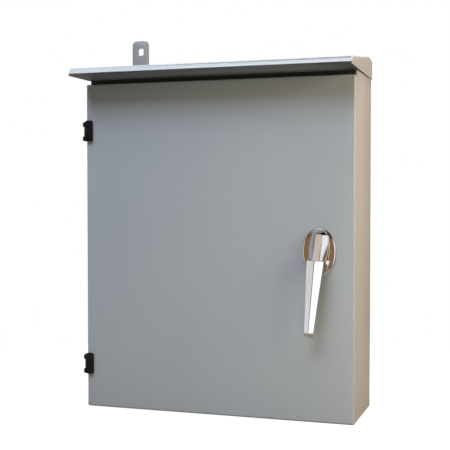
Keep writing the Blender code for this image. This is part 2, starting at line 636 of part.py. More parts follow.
def transfer_shaft():
    """Round shaft through the barriers with the solenoid's crank at its right end."""
    left = SWITCH_X - 1.5 * POLE_PITCH - 0.022
    crank_x = SWITCH_X + 1.5 * POLE_PITCH + 0.012
    shaft = disc("transfer_shaft", "X", (left, crank_x + 0.003), (SHAFT.y, SHAFT.z), SHAFT_R, "zinc")
    pin_at = swing(SHAFT_SWING, CRANK_L)
    outline = [swing(SHAFT_SWING, a, b) for a, b in
               ((-0.010, -0.008), (-0.010, 0.008), (0.002, 0.011), (CRANK_L + 0.004, 0.0055),
                (CRANK_L + 0.006, 0.0), (CRANK_L + 0.004, -0.0055), (0.002, -0.011))]
    crank = prism("crank", "X", (crank_x - 0.003, crank_x + 0.003), outline)
    pin = disc("crank_pin", "X", (crank_x, SOLENOID_X + 0.008), pin_at, 0.0028, sides=16)
    return join(shaft, crank, pin)


def contact_arm(number, x):
    """Moulded carrier round the shaft with its copper finger, resting on the normal side."""
    hub = disc(f"contact_arm_{number}", "X", (x - 0.014, x + 0.014), (SHAFT.y, SHAFT.z), 0.0145, "copper")
    outline = [swing(SHAFT_SWING, a, b) for a, b in
               ((0.004, -0.0060), (0.026, -0.0042), (ARM_L, -0.0042), (ARM_L, 0.0042),
                (0.026, 0.0042), (0.004, 0.0060))]
    join(hub, prism(f"finger_{number}", "X", (x - 0.010, x + 0.010), outline))
    return cut(hub, disc(f"arm_bore_{number}", "X", (x - 0.03, x + 0.03), (SHAFT.y, SHAFT.z), SHAFT_R + GAP))


def manual_lever():
    """Lever on the shaft's left end for transfer by hand."""
    left = SWITCH_X - 1.5 * POLE_PITCH - 0.022
    span = (left + 0.002, left + 0.010)
    lever = disc("manual_lever", "X", span, (SHAFT.y, SHAFT.z), 0.0140, "red_moulding")
    outline = [swing(SHAFT_SWING, a, b) for a, b in
               ((0.004, -0.0075), (0.046, -0.0050), (0.050, -0.0025), (0.050, 0.0025), (0.046, 0.0050),
                (0.004, 0.0075))]
    grip = prism("lever_grip", "X", span, outline)
    join(lever, grip)
    return cut(lever, disc("lever_bore", "X", (left - 0.01, left + 0.02), (SHAFT.y, SHAFT.z),
                           SHAFT_R + GAP))


def solenoid():
    """Operator: steel yoke on the plate, coil inside it, and the plunger that pulls the crank."""
    x, y = SOLENOID_X, SOLENOID_Y
    front, back = y - 0.0270, Y_DEVICE
    low, high = YOKE_Z
    yoke = box("solenoid_yoke", (x - 0.024, x + 0.024), (front, back), (low, high), "zinc")
    window = box("yoke_window", (x - 0.03, x + 0.03), (front + 0.003, back - 0.003),
                 (low + 0.004, high - 0.004))
    cut(yoke, window, disc("plunger_way", "Z", (high - 0.02, high + 0.02), (x, y), 0.0086, sides=20))

    coil = disc("solenoid_coil", "Z", (low + 0.004 + GAP, high - 0.004 - GAP), (x, y), 0.0230, "winding",
                sides=28)
    waist = disc("coil_waist_cut", "Z", (low + 0.008, high - 0.008), (x, y), 0.030, sides=28)
    cut(waist, disc("coil_waist", "Z", (low, high), (x, y), 0.0205, sides=28))
    cut(coil, waist, disc("coil_bore", "Z", (low, high), (x, y), 0.0082, sides=20))

    pin_y, pin_z = swing(SHAFT_SWING, CRANK_L)
    plunger = disc("solenoid_plunger", "Z", (-0.098, -0.016), (x, y), 0.0074, "tin", sides=20)
    clevis = box("clevis", (x - 0.0045, x + 0.0045), (y - 0.0095, y + 0.0095), (-0.020, pin_z + 0.009))
    slot = box("clevis_slot", (x - 0.02, x + 0.02), (y - 0.0052, y + 0.0052),
               (pin_z - 0.0034, pin_z + 0.0034))
    join(plunger, clevis)
    return cut(plunger, slot)


def aux_switch():
    """Sealed auxiliary switch beside the shaft."""
    x = SWITCH_X - BASE_REACH
    case = box("aux_switch", (x - 0.020, x - GAP), (Y_DEVICE, -0.046), (0.030, 0.080), "dark_moulding")
    notch = box("aux_notch", (x - 0.024, x - 0.012), (-0.060, -0.036), (0.026, 0.038))
    return cut(case, notch)


# Control gear -----------------------------------------------------------------------------------

def din_rail():
    """Top-hat rail across the plate's top."""
    t = 0.0012
    z = RAIL_Z
    front = RAIL_FRONT
    outline = [(Y_DEVICE, z - 0.0125), (Y_DEVICE, z + 0.0125), (front + t, z + 0.0125),
               (front + t, z + 0.0175), (front, z + 0.0175), (front, z + 0.0125 - t),
               (Y_DEVICE - t, z + 0.0125 - t), (Y_DEVICE - t, z - 0.0125 + t), (front, z - 0.0125 + t),
               (front, z - 0.0175), (front + t, z - 0.0175), (front + t, z - 0.0125)]
    return prism("din_rail", "X", RAIL_X, outline, "zinc")


def controller():
    """Transfer controller: case with a display window, and two push-buttons that travel."""
    back = RAIL_FRONT - GAP
    x, z, front = CONTROLLER_X, CONTROLLER_Z, back - CONTROLLER_D
    case = box("controller_case", x, (back, front), z, "grey_moulding")
    cut(case, box("display_window", (x[0] + 0.018, x[0] + 0.088), (front - 0.01, front + 0.002),
                  (z[0] + 0.055, z[1] - 0.018)))
    buttons = []
    for i in range(2):
        at = (x[0] + 0.034 + 0.038 * i, z[0] + 0.028)
        cut(case, disc(f"button_well_{i}", "Y", (front - 0.01, front + 0.006), at, 0.0066, sides=20))
        button = disc(f"controller_button_{i + 1}", "Y", (front + 0.0035, front - 0.0030), at, 0.0060,
                      ("green_moulding", "red_moulding")[i], sides=20)
        buttons.append((button, Vector((at[0], front, at[1]))))
    return buttons


def rail_device(name, x, depth, half, slot, shoulder=0.0):
    """Case that clips on the rail, with its face standing proud of its shoulders."""
    back = RAIL_FRONT - GAP
    front = back - depth
    outline = [(back, RAIL_Z - half), (back, RAIL_Z + half), (front + shoulder, RAIL_Z + half),
               (front + shoulder, RAIL_Z + half * 0.55), (front, RAIL_Z + half * 0.50),
               (front, RAIL_Z - half * 0.50), (front + shoulder, RAIL_Z - half * 0.55),
               (front + shoulder, RAIL_Z - half)]
    return prism(name, "X", x, outline, slot)


def control_gear():
    """Relay, two-pole breaker with its toggle, and the terminal strip."""
    rail_device("control_relay", RELAY_X, 0.060, 0.034, "dark_moulding", 0.024)
    depth, half = 0.062, 0.041
    breaker = rail_device("control_breaker", BREAKER_X, depth, half, "white_moulding", 0.018)
    front = RAIL_FRONT - GAP - depth
    middle = sum(BREAKER_X) / 2
    pivot = Vector((middle, front + 0.004, RAIL_Z))
    cut(breaker, disc("toggle_well", "X", (middle - 0.0125, middle + 0.0125), (pivot.y, pivot.z), 0.0100))
    toggle = disc("breaker_toggle", "X", (middle - 0.0120, middle + 0.0120), (pivot.y, pivot.z), 0.0094,
                  "dark_moulding", sides=24)
    tilt = radians(22)
    tip = [(pivot.y - a * cos(tilt) - b * sin(tilt), pivot.z + a * sin(tilt) - b * cos(tilt))
           for a, b in ((0.004, -0.0035), (0.019, -0.0022), (0.019, 0.0022), (0.004, 0.0035))]
    join(toggle, prism("toggle_tip", "X", (middle - 0.0110, middle + 0.0110), tip))

    strip = rail_device("terminal_strip", STRIP_X, 0.040, 0.024, "grey_moulding", 0.016)
    for i in range(12):
        x = STRIP_X[0] + TERMINAL_PITCH * (i + 1)
        for side in (-1, 1):
            cut(strip, box(f"terminal_mouth_{i}_{side + 1}", (x - 0.0035, x + 0.0035),
                           (RAIL_FRONT - 0.030, RAIL_FRONT - 0.018),
                           (RAIL_Z + side * 0.0175, RAIL_Z + side * 0.028)))
    return toggle, pivot


def bar_on_feet(name, x, z, slot, holes):
    """Terminal bar with two feet to the plate and a row of screw holes."""
    bar = box(name, x, (Y_DEVICE - 0.022, Y_DEVICE - 0.031), (z - BAR_HALF, z + BAR_HALF), slot)
    for i, end in enumerate(x):
        inward = 0.016 if i == 0 else -0.016
        join(bar, box(f"{name}_foot_{i}", (end, end + inward), (Y_DEVICE, Y_DEVICE - 0.024),
                      (z - BAR_HALF, z + BAR_HALF)))
    step = (x[1] - x[0]) / (holes + 1)
    for i in range(holes):
        cut(bar, disc(f"{name}_hole_{i}", "Y", (Y_DEVICE - 0.04, Y_DEVICE - 0.025),
                      (x[0] + step * (i + 1), z), 0.0028, sides=12))
    return bar


def control_transformer():
    """Laminated core with its winding, on two feet."""
    x, z = TRANSFORMER_X, TRANSFORMER_Z
    core = box("control_transformer", x, (Y_DEVICE - 0.004, Y_DEVICE - 0.050), (z[0] + 0.006, z[1] - 0.006),
               "zinc")
    coil = box("transformer_coil", (x[0] + 0.018, x[1] - 0.018), (Y_DEVICE - 0.008, Y_DEVICE - 0.060), z)
    foot = box("transformer_foot", (x[0] - 0.006, x[1] + 0.006), (Y_DEVICE, Y_DEVICE - 0.006),
               (z[0] + 0.012, z[1] - 0.012))
    return join(core, coil, foot)


def smooth_route(points, step):
    """Points at even spacing on a Catmull-Rom curve through the route's own points."""
    padded = [points[0], *points, points[-1]]
    fine = []
    for a, b, c, d in zip(padded, padded[1:], padded[2:], padded[3:]):
        a, b, c, d = (Vector(p) for p in (a, b, c, d))
        for k in range(24):
            t = k / 24
            fine.append(0.5 * (2 * b + (c - a) * t + (2 * a - 5 * b + 4 * c - d) * t * t
                               + (3 * b - a - 3 * c + d) * t ** 3))
    fine.append(Vector(points[-1]))
    kept = [fine[0]]
    for point in fine[1:-1]:
        if (point - kept[-1]).length >= step and (point - fine[-1]).length >= step * 0.6:
            kept.append(point)
    return kept + [fine[-1]]


def control_harness():
    """Sleeved bundle from the terminal strip to the solenoid's coil."""
    curve = bpy.data.curves.new("control_harness", "CURVE")
    curve.dimensions = "3D"
    curve.bevel_depth = HARNESS_R
    curve.bevel_resolution = 2
    curve.use_fill_caps = True
    curve.materials.append(material("cable"))
    spline = curve.splines.new("POLY")
    route = smooth_route(HARNESS_ROUTE, HARNESS_R * 2.2)
    spline.points.add(len(route) - 1)
    for target, point in zip(spline.points, route):
        target.co = (*point, 1.0)
    harness = bpy.data.objects.new("control_harness", curve)
    bpy.context.collection.objects.link(harness)


# Assembly ---------------------------------------------------------------------------------------

cabinet_body()
rain_hood()
rain_seal()
hanging_tab()
gland_plate_parts()
sub_panel()

door_pieces = [door_panel(), door_gasket(), document_pocket()]
door_pieces += [hinge(tag, height) for tag, height in HINGE_HEIGHTS]
escutcheon()
door_pieces += [bpy.data.objects["handle_escutcheon"], bpy.data.objects["handle_nut"],
                rod_guide("upper", 1, HANDLE_Z + GUIDE_DISTANCE),
                rod_guide("lower", -1, HANDLE_Z - GUIDE_DISTANCE)]
rods = [latch_rod("upper", 1, OPEN_HIGH - 0.0015), latch_rod("lower", -1, OPEN_LOW + 0.0015)]
door_axis = axle("door_axis", (HINGE_X, PIVOT_Y, 0.0), door_pieces)
handle_axis = axle("handle_axis", (HANDLE_X, Y_FRONT, HANDLE_Z), [handle_lever(), latch_cam()])
handle_axis.parent = door_axis
handle_axis.matrix_parent_inverse = Matrix.Translation(-door_axis.location)
for rod in rods:
    rod.parent = door_axis
    rod.matrix_parent_inverse = Matrix.Translation(-door_axis.location)

switch_base()
arc_cover("upper", 1)
arc_cover("lower", -1)
turning = [transfer_shaft(), manual_lever()]
for pole, side in enumerate(POLES, start=1):
    supply_terminal("normal", 1, pole, pole_x(side))
    supply_terminal("emergency", -1, pole, pole_x(side))
    load_terminal(pole, pole_x(side))
    turning.append(contact_arm(pole, pole_x(side)))
axle("shaft_axis", SHAFT, turning)
plunger_piece = solenoid()
axle("plunger_axis", (SOLENOID_X, SOLENOID_Y, 0.0), [plunger_piece])
aux_switch()

din_rail()
for button_piece, button_at in controller():
    axle(f"{button_piece.name}_axis", button_at, [button_piece])
toggle_piece, toggle_at = control_gear()
axle("toggle_axis", toggle_at, [toggle_piece])
bar_on_feet("neutral_bar", NEUTRAL_X, NEUTRAL_Z, "brass", 8)
bar_on_feet("ground_bar", GROUND_X, GROUND_Z, "tin", 10)
control_transformer()
control_harness()
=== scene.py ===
"""Looks of the automatic transfer switch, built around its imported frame.

Metres, +Z up, in the frame's coordinates: the wall is Y = 0 and the door faces -Y.
"""

import json
from math import cos, pi, radians, sin

import bmesh
import bpy
from mathutils import Matrix, Vector


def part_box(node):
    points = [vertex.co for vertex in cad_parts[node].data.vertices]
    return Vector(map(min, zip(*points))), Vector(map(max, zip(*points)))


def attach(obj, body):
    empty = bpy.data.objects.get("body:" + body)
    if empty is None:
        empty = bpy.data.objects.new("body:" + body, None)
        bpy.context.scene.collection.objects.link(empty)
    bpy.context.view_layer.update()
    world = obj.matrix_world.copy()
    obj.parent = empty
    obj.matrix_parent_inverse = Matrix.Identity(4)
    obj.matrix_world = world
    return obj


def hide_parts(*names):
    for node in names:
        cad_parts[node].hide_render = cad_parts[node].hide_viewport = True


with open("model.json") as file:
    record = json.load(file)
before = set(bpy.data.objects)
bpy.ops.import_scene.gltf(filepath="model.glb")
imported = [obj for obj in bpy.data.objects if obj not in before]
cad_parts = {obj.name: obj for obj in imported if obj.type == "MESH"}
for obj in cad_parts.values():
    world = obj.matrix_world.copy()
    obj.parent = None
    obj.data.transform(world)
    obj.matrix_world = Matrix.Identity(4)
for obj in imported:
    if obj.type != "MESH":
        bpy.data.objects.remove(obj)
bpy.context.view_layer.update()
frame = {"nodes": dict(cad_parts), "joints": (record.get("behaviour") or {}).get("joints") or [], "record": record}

BODY_OF = {node: body for body, nodes in frame["record"]["behaviour"]["bodies"].items() for node in nodes}
LOW = {node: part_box(node)[0] for node in frame["nodes"]}
HIGH = {node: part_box(node)[1] for node in frame["nodes"]}
JOINT = {joint["name"]: joint for joint in frame["joints"]}

PIN_BORE = 0.00175                # bores of the hinge eyes
SHEET = 0.0015
GAP = 0.0003
BEND = 0.0024                   # outer radius of a bend in the sheet

# Mesh tools -------------------------------------------------------------------------------------


def at(axis, along, a, b):
    """A point from its place along an axis and its two cross coordinates in x, y, z order."""
    return Vector({"X": (along, a, b), "Y": (a, along, b), "Z": (a, b, along)}[axis])


def circle(centre, radius, sides=32, start=0.0):
    """Points of a round outline."""
    return [(centre[0] + radius * cos(start + 2 * pi * i / sides),
             centre[1] + radius * sin(start + 2 * pi * i / sides)) for i in range(sides)]


def arc(centre, radius, first, last, steps=6):
    """Points of an arc between two angles in degrees."""
    rx, ry = radius if isinstance(radius, tuple) else (radius, radius)
    angles = [radians(first + (last - first) * i / steps) for i in range(steps + 1)]
    return [(centre[0] + rx * cos(a), centre[1] + ry * sin(a)) for a in angles]


def rounded(a, b, r, steps=4):
    """Rectangle outline with round corners between two a and two b values."""
    (a0, a1), (b0, b1) = sorted(a), sorted(b)
    corners = (((a1 - r, b0 + r), -90), ((a1 - r, b1 - r), 0), ((a0 + r, b1 - r), 90),
               ((a0 + r, b0 + r), 180))
    return [point for centre, first in corners for point in arc(centre, r, first, first + 90, steps)]


class Form:
    """Closed solids gathered in one mesh, in the frame's coordinates unless it has a matrix."""

    def __init__(self, matrix=None):
        self.bm = bmesh.new()
        self.matrix = matrix or Matrix.Identity(4)

    def solid(self, points, faces, r=0.0, steps=2, limit=25):
        """One solid, with the edges sharper than the limit rounded."""
        verts = [self.bm.verts.new(self.matrix @ Vector(point)) for point in points]
        made = [self.bm.faces.new([verts[i] for i in face]) for face in faces]
        if r:
            bmesh.ops.recalc_face_normals(self.bm, faces=made)
            edges = {edge for face in made for edge in face.edges}
            sharp = [edge for edge in edges if edge.calc_face_angle(0.0) > radians(limit)]
            bmesh.ops.bevel(self.bm, geom=sharp, offset=r, segments=steps, profile=0.5,
                            affect="EDGES", clamp_overlap=True)
        return self

    def loft(self, rings, r=0.0, steps=2, limit=25):
        """A solid through rings of equal length."""
        count = len(rings[0])
        points = [point for ring in rings for point in ring]
        faces = [(k * count + i, k * count + (i + 1) % count, (k + 1) * count + (i + 1) % count,
                  (k + 1) * count + i) for k in range(len(rings) - 1) for i in range(count)]
        faces += [tuple(range(count)), tuple(range((len(rings) - 1) * count, len(rings) * count))]
        return self.solid(points, faces, r, steps, limit)

    def prism(self, axis, span, outline, r=0.0, steps=2, limit=25):
        """An outline pushed along an axis."""
        return self.loft([[at(axis, end, a, b) for a, b in outline] for end in span], r, steps, limit)

    def block(self, x, y, z, r=0.0, steps=2):
        """A block between two x, two y and two z values."""
        (x0, x1), (y0, y1), (z0, z1) = sorted(x), sorted(y), sorted(z)
        return self.prism("Z", (z0, z1), [(x0, y0), (x1, y0), (x1, y1), (x0, y1)], r, steps)

    def turned(self, axis, centre, profile, sides=32, start=0.0):
        """A turned solid: (along, radius) pairs from one end to the other."""
        rings = [[at(axis, along, a, b) for a, b in circle(centre, max(radius, 0.00002), sides, start)]
                 for along, radius in profile]
        return self.loft(rings)

    def tube(self, route, radius, sides=10):
        """A round tube along a list of points."""
        rings, side = [], None
        for i, point in enumerate(route):
            ahead = (route[min(i + 1, len(route) - 1)] - route[max(i - 1, 0)]).normalized()
            if side is None:
                side = ahead.orthogonal().normalized()
            side = (side - ahead * side.dot(ahead)).normalized()
            up = ahead.cross(side)
            rings.append([point + radius * (cos(2 * pi * k / sides) * side + sin(2 * pi * k / sides) * up)
                          for k in range(sides)])
        return self.loft(rings)

    def stamp(self, mesh, matrix):
        """A copy of a ready mesh."""
        before = len(self.bm.verts)
        self.bm.from_mesh(mesh)
        self.bm.verts.ensure_lookup_table()
        for vert in self.bm.verts[before:]:
            vert.co = self.matrix @ (matrix @ vert.co)
        return self

    def mesh(self, name):
        bmesh.ops.recalc_face_normals(self.bm, faces=self.bm.faces)
        return to_mesh(self.bm, name)


def rod(axis, centre, span, radius, sides):
    """A plain round bar along an axis, for pins and bores."""
    return Form().turned(axis, centre, [(end, radius) for end in span], sides)


def to_mesh(bm, name):
    made = bpy.data.meshes.new(name)
    bm.to_mesh(made)
    bm.free()
    return made


def applied(obj):
    """The object's mesh with its modifiers applied; the object is removed."""
    made = bpy.data.meshes.new_from_object(obj.evaluated_get(bpy.context.evaluated_depsgraph_get()))
    bpy.data.objects.remove(obj)
    return made


def loose(mesh):
    """A plain object in the scene that holds a mesh."""
    obj = bpy.data.objects.new(mesh.name, mesh)
    bpy.context.scene.collection.objects.link(obj)
    return obj


def combined(operation, first, *others):
    """A mesh from exact booleans of the first form or mesh with the others."""
    solids = [loose(form.mesh("part") if isinstance(form, Form) else form) for form in (first, *others)]
    for tool in solids[1:]:
        step = solids[0].modifiers.new("boolean", "BOOLEAN")
        step.operation = operation
        step.solver = "EXACT"
        step.object = tool
    made = applied(solids[0])
    for tool in solids[1:]:
        bpy.data.objects.remove(tool)
    return made


def carved(first, *cutters):
    return combined("DIFFERENCE", first, *cutters)


def united(first, *others):
    return combined("UNION", first, *others)


def sheet_from(skin, thickness=SHEET):
    """A sheet of even thickness inside an outer skin."""
    obj = loose(skin)
    step = obj.modifiers.new("sheet", "SOLIDIFY")
    step.thickness = thickness
    step.offset = -1.0
    step.use_even_offset = True
    return applied(obj)


def smooth_route(points, step):
    """Evenly spaced points on a Catmull-Rom curve through the given ones."""
    padded = [points[0], *points, points[-1]]
    fine = []
    for a, b, c, d in zip(padded, padded[1:], padded[2:], padded[3:]):
        a, b, c, d = (Vector(p) for p in (a, b, c, d))
        for k in range(24):
            t = k / 24
            fine.append(0.5 * (2 * b + (c - a) * t + (2 * a - 5 * b + 4 * c - d) * t * t
                               + (3 * b - a - 3 * c + d) * t ** 3))
    fine.append(Vector(points[-1]))
    kept = [fine[0]]
    for point in fine[1:-1]:
        if (point - kept[-1]).length >= step and (point - fine[-1]).length >= step * 0.6:
            kept.append(point)
    return kept + [fine[-1]]


def facing(axis, sign, point):
    """Matrix that stands a part modelled along +Z on a face that looks along an axis."""
    z = Vector({"X": (1, 0, 0), "Y": (0, 1, 0), "Z": (0, 0, 1)}[axis]) * sign
    x = Vector((0, 0, 1)) if axis != "Z" else Vector((1, 0, 0))
    y = z.cross(x)
    turn = Matrix((x, y, z)).transposed().to_4x4()
    return Matrix.Translation(Vector(point)) @ turn


def ahead(point):
    """Matrix for a part on a face that looks at the door."""
    return facing("Y", -1, point)


# Materials --------------------------------------------------------------------------------------


class Look:
    """A node material, built from small steps."""

    def __init__(self, name):
        self.material = bpy.data.materials.new(name)
        self.material.use_nodes = True
        self.tree = self.material.node_tree
        self.shader = self.tree.nodes["Principled BSDF"]
        self.place = self.node("ShaderNodeTexCoord").outputs["Object"]

    def node(self, kind, **values):
        made = self.tree.nodes.new(kind)
        for key, value in values.items():
            setattr(made, key, value)
        return made

    def link(self, source, target):
        self.tree.links.new(source, target)

    def stretched(self, stretch):
        """Object coordinates scaled on each axis."""
        scale = self.node("ShaderNodeVectorMath", operation="MULTIPLY")
        self.link(self.place, scale.inputs[0])
        scale.inputs[1].default_value = stretch
        return scale.outputs[0]

    def noise(self, scale, detail=4.0, stretch=None, rough=0.55):
        made = self.node("ShaderNodeTexNoise")
        made.inputs["Scale"].default_value = scale
        made.inputs["Detail"].default_value = detail
        made.inputs["Roughness"].default_value = rough
        self.link(self.stretched(stretch) if stretch else self.place, made.inputs["Vector"])
        return made.outputs["Fac"]

    def ranged(self, value, low, high, to_low=0.0, to_high=1.0):
        made = self.node("ShaderNodeMapRange")
        for key, number in (("From Min", low), ("From Max", high), ("To Min", to_low), ("To Max", to_high)):
            made.inputs[key].default_value = number
        self.link(value, made.inputs["Value"])
        return made.outputs["Result"]

    def mixed(self, factor, a, b):
        """Colour mix; a and b are colours or sockets."""
        made = self.node("ShaderNodeMix", data_type="RGBA")
        self.link(factor, made.inputs["Factor"])
        for socket, value in ((made.inputs[6], a), (made.inputs[7], b)):
            if isinstance(value, tuple):
                socket.default_value = (*value, 1.0)
            else:
                self.link(value, socket)
        return made.outputs[2]

    def maths(self, operation, a, b):
        made = self.node("ShaderNodeMath", operation=operation)
        for socket, value in zip(made.inputs, (a, b)):
            if isinstance(value, (int, float)):
                socket.default_value = value
            else:
                self.link(value, socket)
        return made.outputs[0]

    def bump(self, height, strength, distance, normal=None):
        made = self.node("ShaderNodeBump")
        made.inputs["Strength"].default_value = strength
        made.inputs["Distance"].default_value = distance
        self.link(height, made.inputs["Height"])
        if normal:
            self.link(normal, made.inputs["Normal"])
        return made.outputs["Normal"]

    def edges(self, radius):
        """1 on edges about as wide as the radius, and 0 on flat faces."""
        bevel = self.node("ShaderNodeBevel", samples=4)
        bevel.inputs["Radius"].default_value = radius
        dot = self.node("ShaderNodeVectorMath", operation="DOT_PRODUCT")
        self.link(bevel.outputs["Normal"], dot.inputs[0])
        self.link(self.node("ShaderNodeNewGeometry").outputs["Normal"], dot.inputs[1])
        return self.ranged(dot.outputs["Value"], 0.995, 0.90)

    def set(self, colour=None, rough=None, normal=None, **sockets):
        """Links or sets the shader's sockets."""
        named = {"Base Color": colour, "Roughness": rough, "Normal": normal}
        for key, value in list(named.items()) + [(k.replace("_", " "), v) for k, v in sockets.items()]:
            if value is None:
                continue
            if isinstance(value, bpy.types.NodeSocket):
                self.link(value, self.shader.inputs[key])
            else:
                self.shader.inputs[key].default_value = (*value, 1.0) if isinstance(value, tuple) else value
        return self.material


def uneven(name, dark, light, rough, patch=9.0, grain=1400.0, relief=0.06, worn=None, stretch=None,
           **sockets):
    """Surface whose tone and gloss drift, with a fine grain and optionally worn edges."""
    look = Look(name)
    drift = look.ranged(look.noise(patch, 5.0, stretch), 0.30, 0.70)
    colour = look.mixed(drift, dark, light)
    if worn:
        broken = look.maths("MULTIPLY", look.edges(0.0012), look.ranged(look.noise(160.0, 3.0), 0.42, 0.62))
        colour = look.mixed(broken, colour, worn)
    gloss = look.ranged(look.noise(patch * 6, 4.0, stretch), 0.3, 0.7, *rough)
    normal = look.bump(look.noise(grain, 2.0, stretch), relief, 0.0004)
    return look.set(colour, gloss, normal, **sockets)


def grey_paint(name, dark, light):
    """Semi-gloss grey enamel with orange peel, faint handling marks and a little dust on top."""
    look = Look(name)
    broad = look.ranged(look.noise(3.2, 3.0), 0.30, 0.70)
    colour = look.mixed(broad, dark, light)
    split = look.node("ShaderNodeSeparateXYZ")
    look.link(look.node("ShaderNodeNewGeometry").outputs["Normal"], split.inputs[0])
    dust = look.maths("MULTIPLY", look.ranged(split.outputs["Z"], 0.55, 0.98),
                      look.ranged(look.noise(34.0, 6.0, None, 0.65), 0.35, 0.70, 0.52, 0.76))
    colour = look.mixed(dust, colour, (0.185, 0.182, 0.172))
    chips = look.maths("MULTIPLY", look.edges(0.0010),
                       look.ranged(look.noise(210.0, 3.0), 0.55, 0.66, 0.0, 0.55))
    colour = look.mixed(chips, colour, (0.50, 0.51, 0.52))
    gloss = look.maths("ADD", look.ranged(look.noise(5.0, 2.0), 0.2, 0.8, 0.29, 0.34),
                       look.maths("MULTIPLY", dust, 0.3))
    peel = look.bump(look.noise(420.0, 2.0), 0.10, 0.0006)
    waves = look.bump(look.noise(7.0, 2.0), 0.25, 0.0012, peel)
    return look.set(colour, gloss, waves, Specular_IOR_Level=0.55)


def zinc():
    """Bright zinc plate: crystalline grey with a faint blue and straw drift."""
    look = Look("zinc")
    cells = look.node("ShaderNodeTexVoronoi", feature="F1")
    cells.inputs["Scale"].default_value = 190.0
    look.link(look.place, cells.inputs["Vector"])
    tone = look.mixed(look.ranged(look.noise(11.0, 4.0), 0.3, 0.7), (0.56, 0.58, 0.62), (0.66, 0.64, 0.58))
    spangle = look.ranged(cells.outputs["Color"], 0.0, 1.0, 0.0, 0.22)
    tone = look.mixed(spangle, tone, (0.74, 0.75, 0.76))
    gloss = look.ranged(look.noise(22.0, 2.0), 0.2, 0.8, 0.30, 0.40)
    normal = look.bump(look.noise(900.0, 2.0), 0.08, 0.0003)
    return look.set(tone, gloss, normal, Metallic=1.0)


def chrome():
    """Polished plated die casting with slight haze in its hollows."""
    look = Look("chrome")
    tone = look.mixed(look.ranged(look.noise(30.0, 4.0), 0.35, 0.7), (0.84, 0.84, 0.85), (0.78, 0.77, 0.76))
    gloss = look.ranged(look.noise(70.0, 5.0), 0.35, 0.75, 0.045, 0.12)
    ripple = look.bump(look.noise(55.0, 2.0), 0.05, 0.0006)
    normal = look.bump(look.noise(800.0, 2.0, (1.0, 1.0, 0.08)), 0.03, 0.0002, ripple)
    return look.set(tone, gloss, normal, Metallic=1.0)


def machined(name, dark, light, rough, stretch):
    """Bare metal with fine drawing marks along one axis and duller patches."""
    return uneven(name, dark, light, rough, 28.0, 1100.0, 0.10, stretch=stretch, Metallic=1.0)


def winding_look():
    """Enamelled copper wire under varnish."""
    return uneven("winding", (0.30, 0.105, 0.035), (0.48, 0.21, 0.075), (0.20, 0.34), 60.0, 1500.0, 0.05,
                  Metallic=0.55, Coat_Weight=0.4)


def braid():
    """Woven sleeve: two sets of crossing strands."""
    look = Look("sleeve")
    strands = []
    for lean in (1.0, -1.0):
        wave = look.node("ShaderNodeTexWave", wave_type="BANDS", bands_direction="DIAGONAL")
        wave.inputs["Scale"].default_value = 260.0
        look.link(look.stretched((1.0, lean, 1.0)), wave.inputs["Vector"])
        strands.append(wave.outputs["Fac"])
    height = look.maths("MAXIMUM", strands[0], strands[1])
    # Darker where the strands lie low: painted shade between the strands.
    colour = look.mixed(height, (0.010, 0.010, 0.011), (0.045, 0.045, 0.047))
    return look.set(colour, look.ranged(height, 0.0, 1.0, 0.62, 0.42), look.bump(height, 0.5, 0.0005))


def laminated():
    """Stack of thin core sheets, seen from their edges."""
    look = Look("laminations")
    wave = look.node("ShaderNodeTexWave", wave_type="BANDS", bands_direction="Y")
    wave.inputs["Scale"].default_value = 320.0
    wave.inputs["Distortion"].default_value = 0.4
    look.link(look.place, wave.inputs["Vector"])
    tone = look.mixed(wave.outputs["Fac"], (0.10, 0.10, 0.11), (0.40, 0.40, 0.41))
    rust = look.ranged(look.noise(90.0, 5.0), 0.58, 0.75, 0.0, 0.5)
    return look.set(look.mixed(rust, tone, (0.23, 0.11, 0.05)), 0.46,
                    look.bump(wave.outputs["Fac"], 0.35, 0.0003), Metallic=0.8)


def clear_plastic():
    """Frosted sheet plastic with light scuffs."""
    look = Look("clear_pocket")
    scuffs = look.ranged(look.noise(60.0, 3.0, (1.0, 1.0, 0.4)), 0.55, 0.80)
    tone = look.mixed(scuffs, (0.74, 0.77, 0.78), (0.84, 0.86, 0.86))
    return look.set(tone, look.ranged(scuffs, 0.0, 1.0, 0.16, 0.26),
                    look.bump(look.noise(220.0, 2.0), 0.03, 0.0003), Transmission_Weight=0.72, IOR=1.49)


def display_glass():
    """Liquid crystal panel behind its window: greenish grey with a faint cell grid."""
    look = Look("display")
    grid = look.node("ShaderNodeTexBrick")
    grid.offset = 0.0
    for key, number in (("Scale", 1.0), ("Brick Width", 0.0014), ("Row Height", 0.0022),
                        ("Mortar Size", 0.00012)):
        grid.inputs[key].default_value = number
    turn = look.node("ShaderNodeMapping")
    turn.inputs["Rotation"].default_value = (radians(90), 0.0, 0.0)
    look.link(look.place, turn.inputs["Vector"])
    look.link(turn.outputs[0], grid.inputs["Vector"])
    grid.inputs["Color1"].default_value = (0.16, 0.20, 0.13, 1.0)
    grid.inputs["Color2"].default_value = (0.17, 0.21, 0.14, 1.0)
    grid.inputs["Mortar"].default_value = (0.21, 0.25, 0.17, 1.0)
    return look.set(grid.outputs["Color"], look.ranged(look.noise(40.0), 0.3, 0.7, 0.07, 0.13),
                    Coat_Weight=0.6)


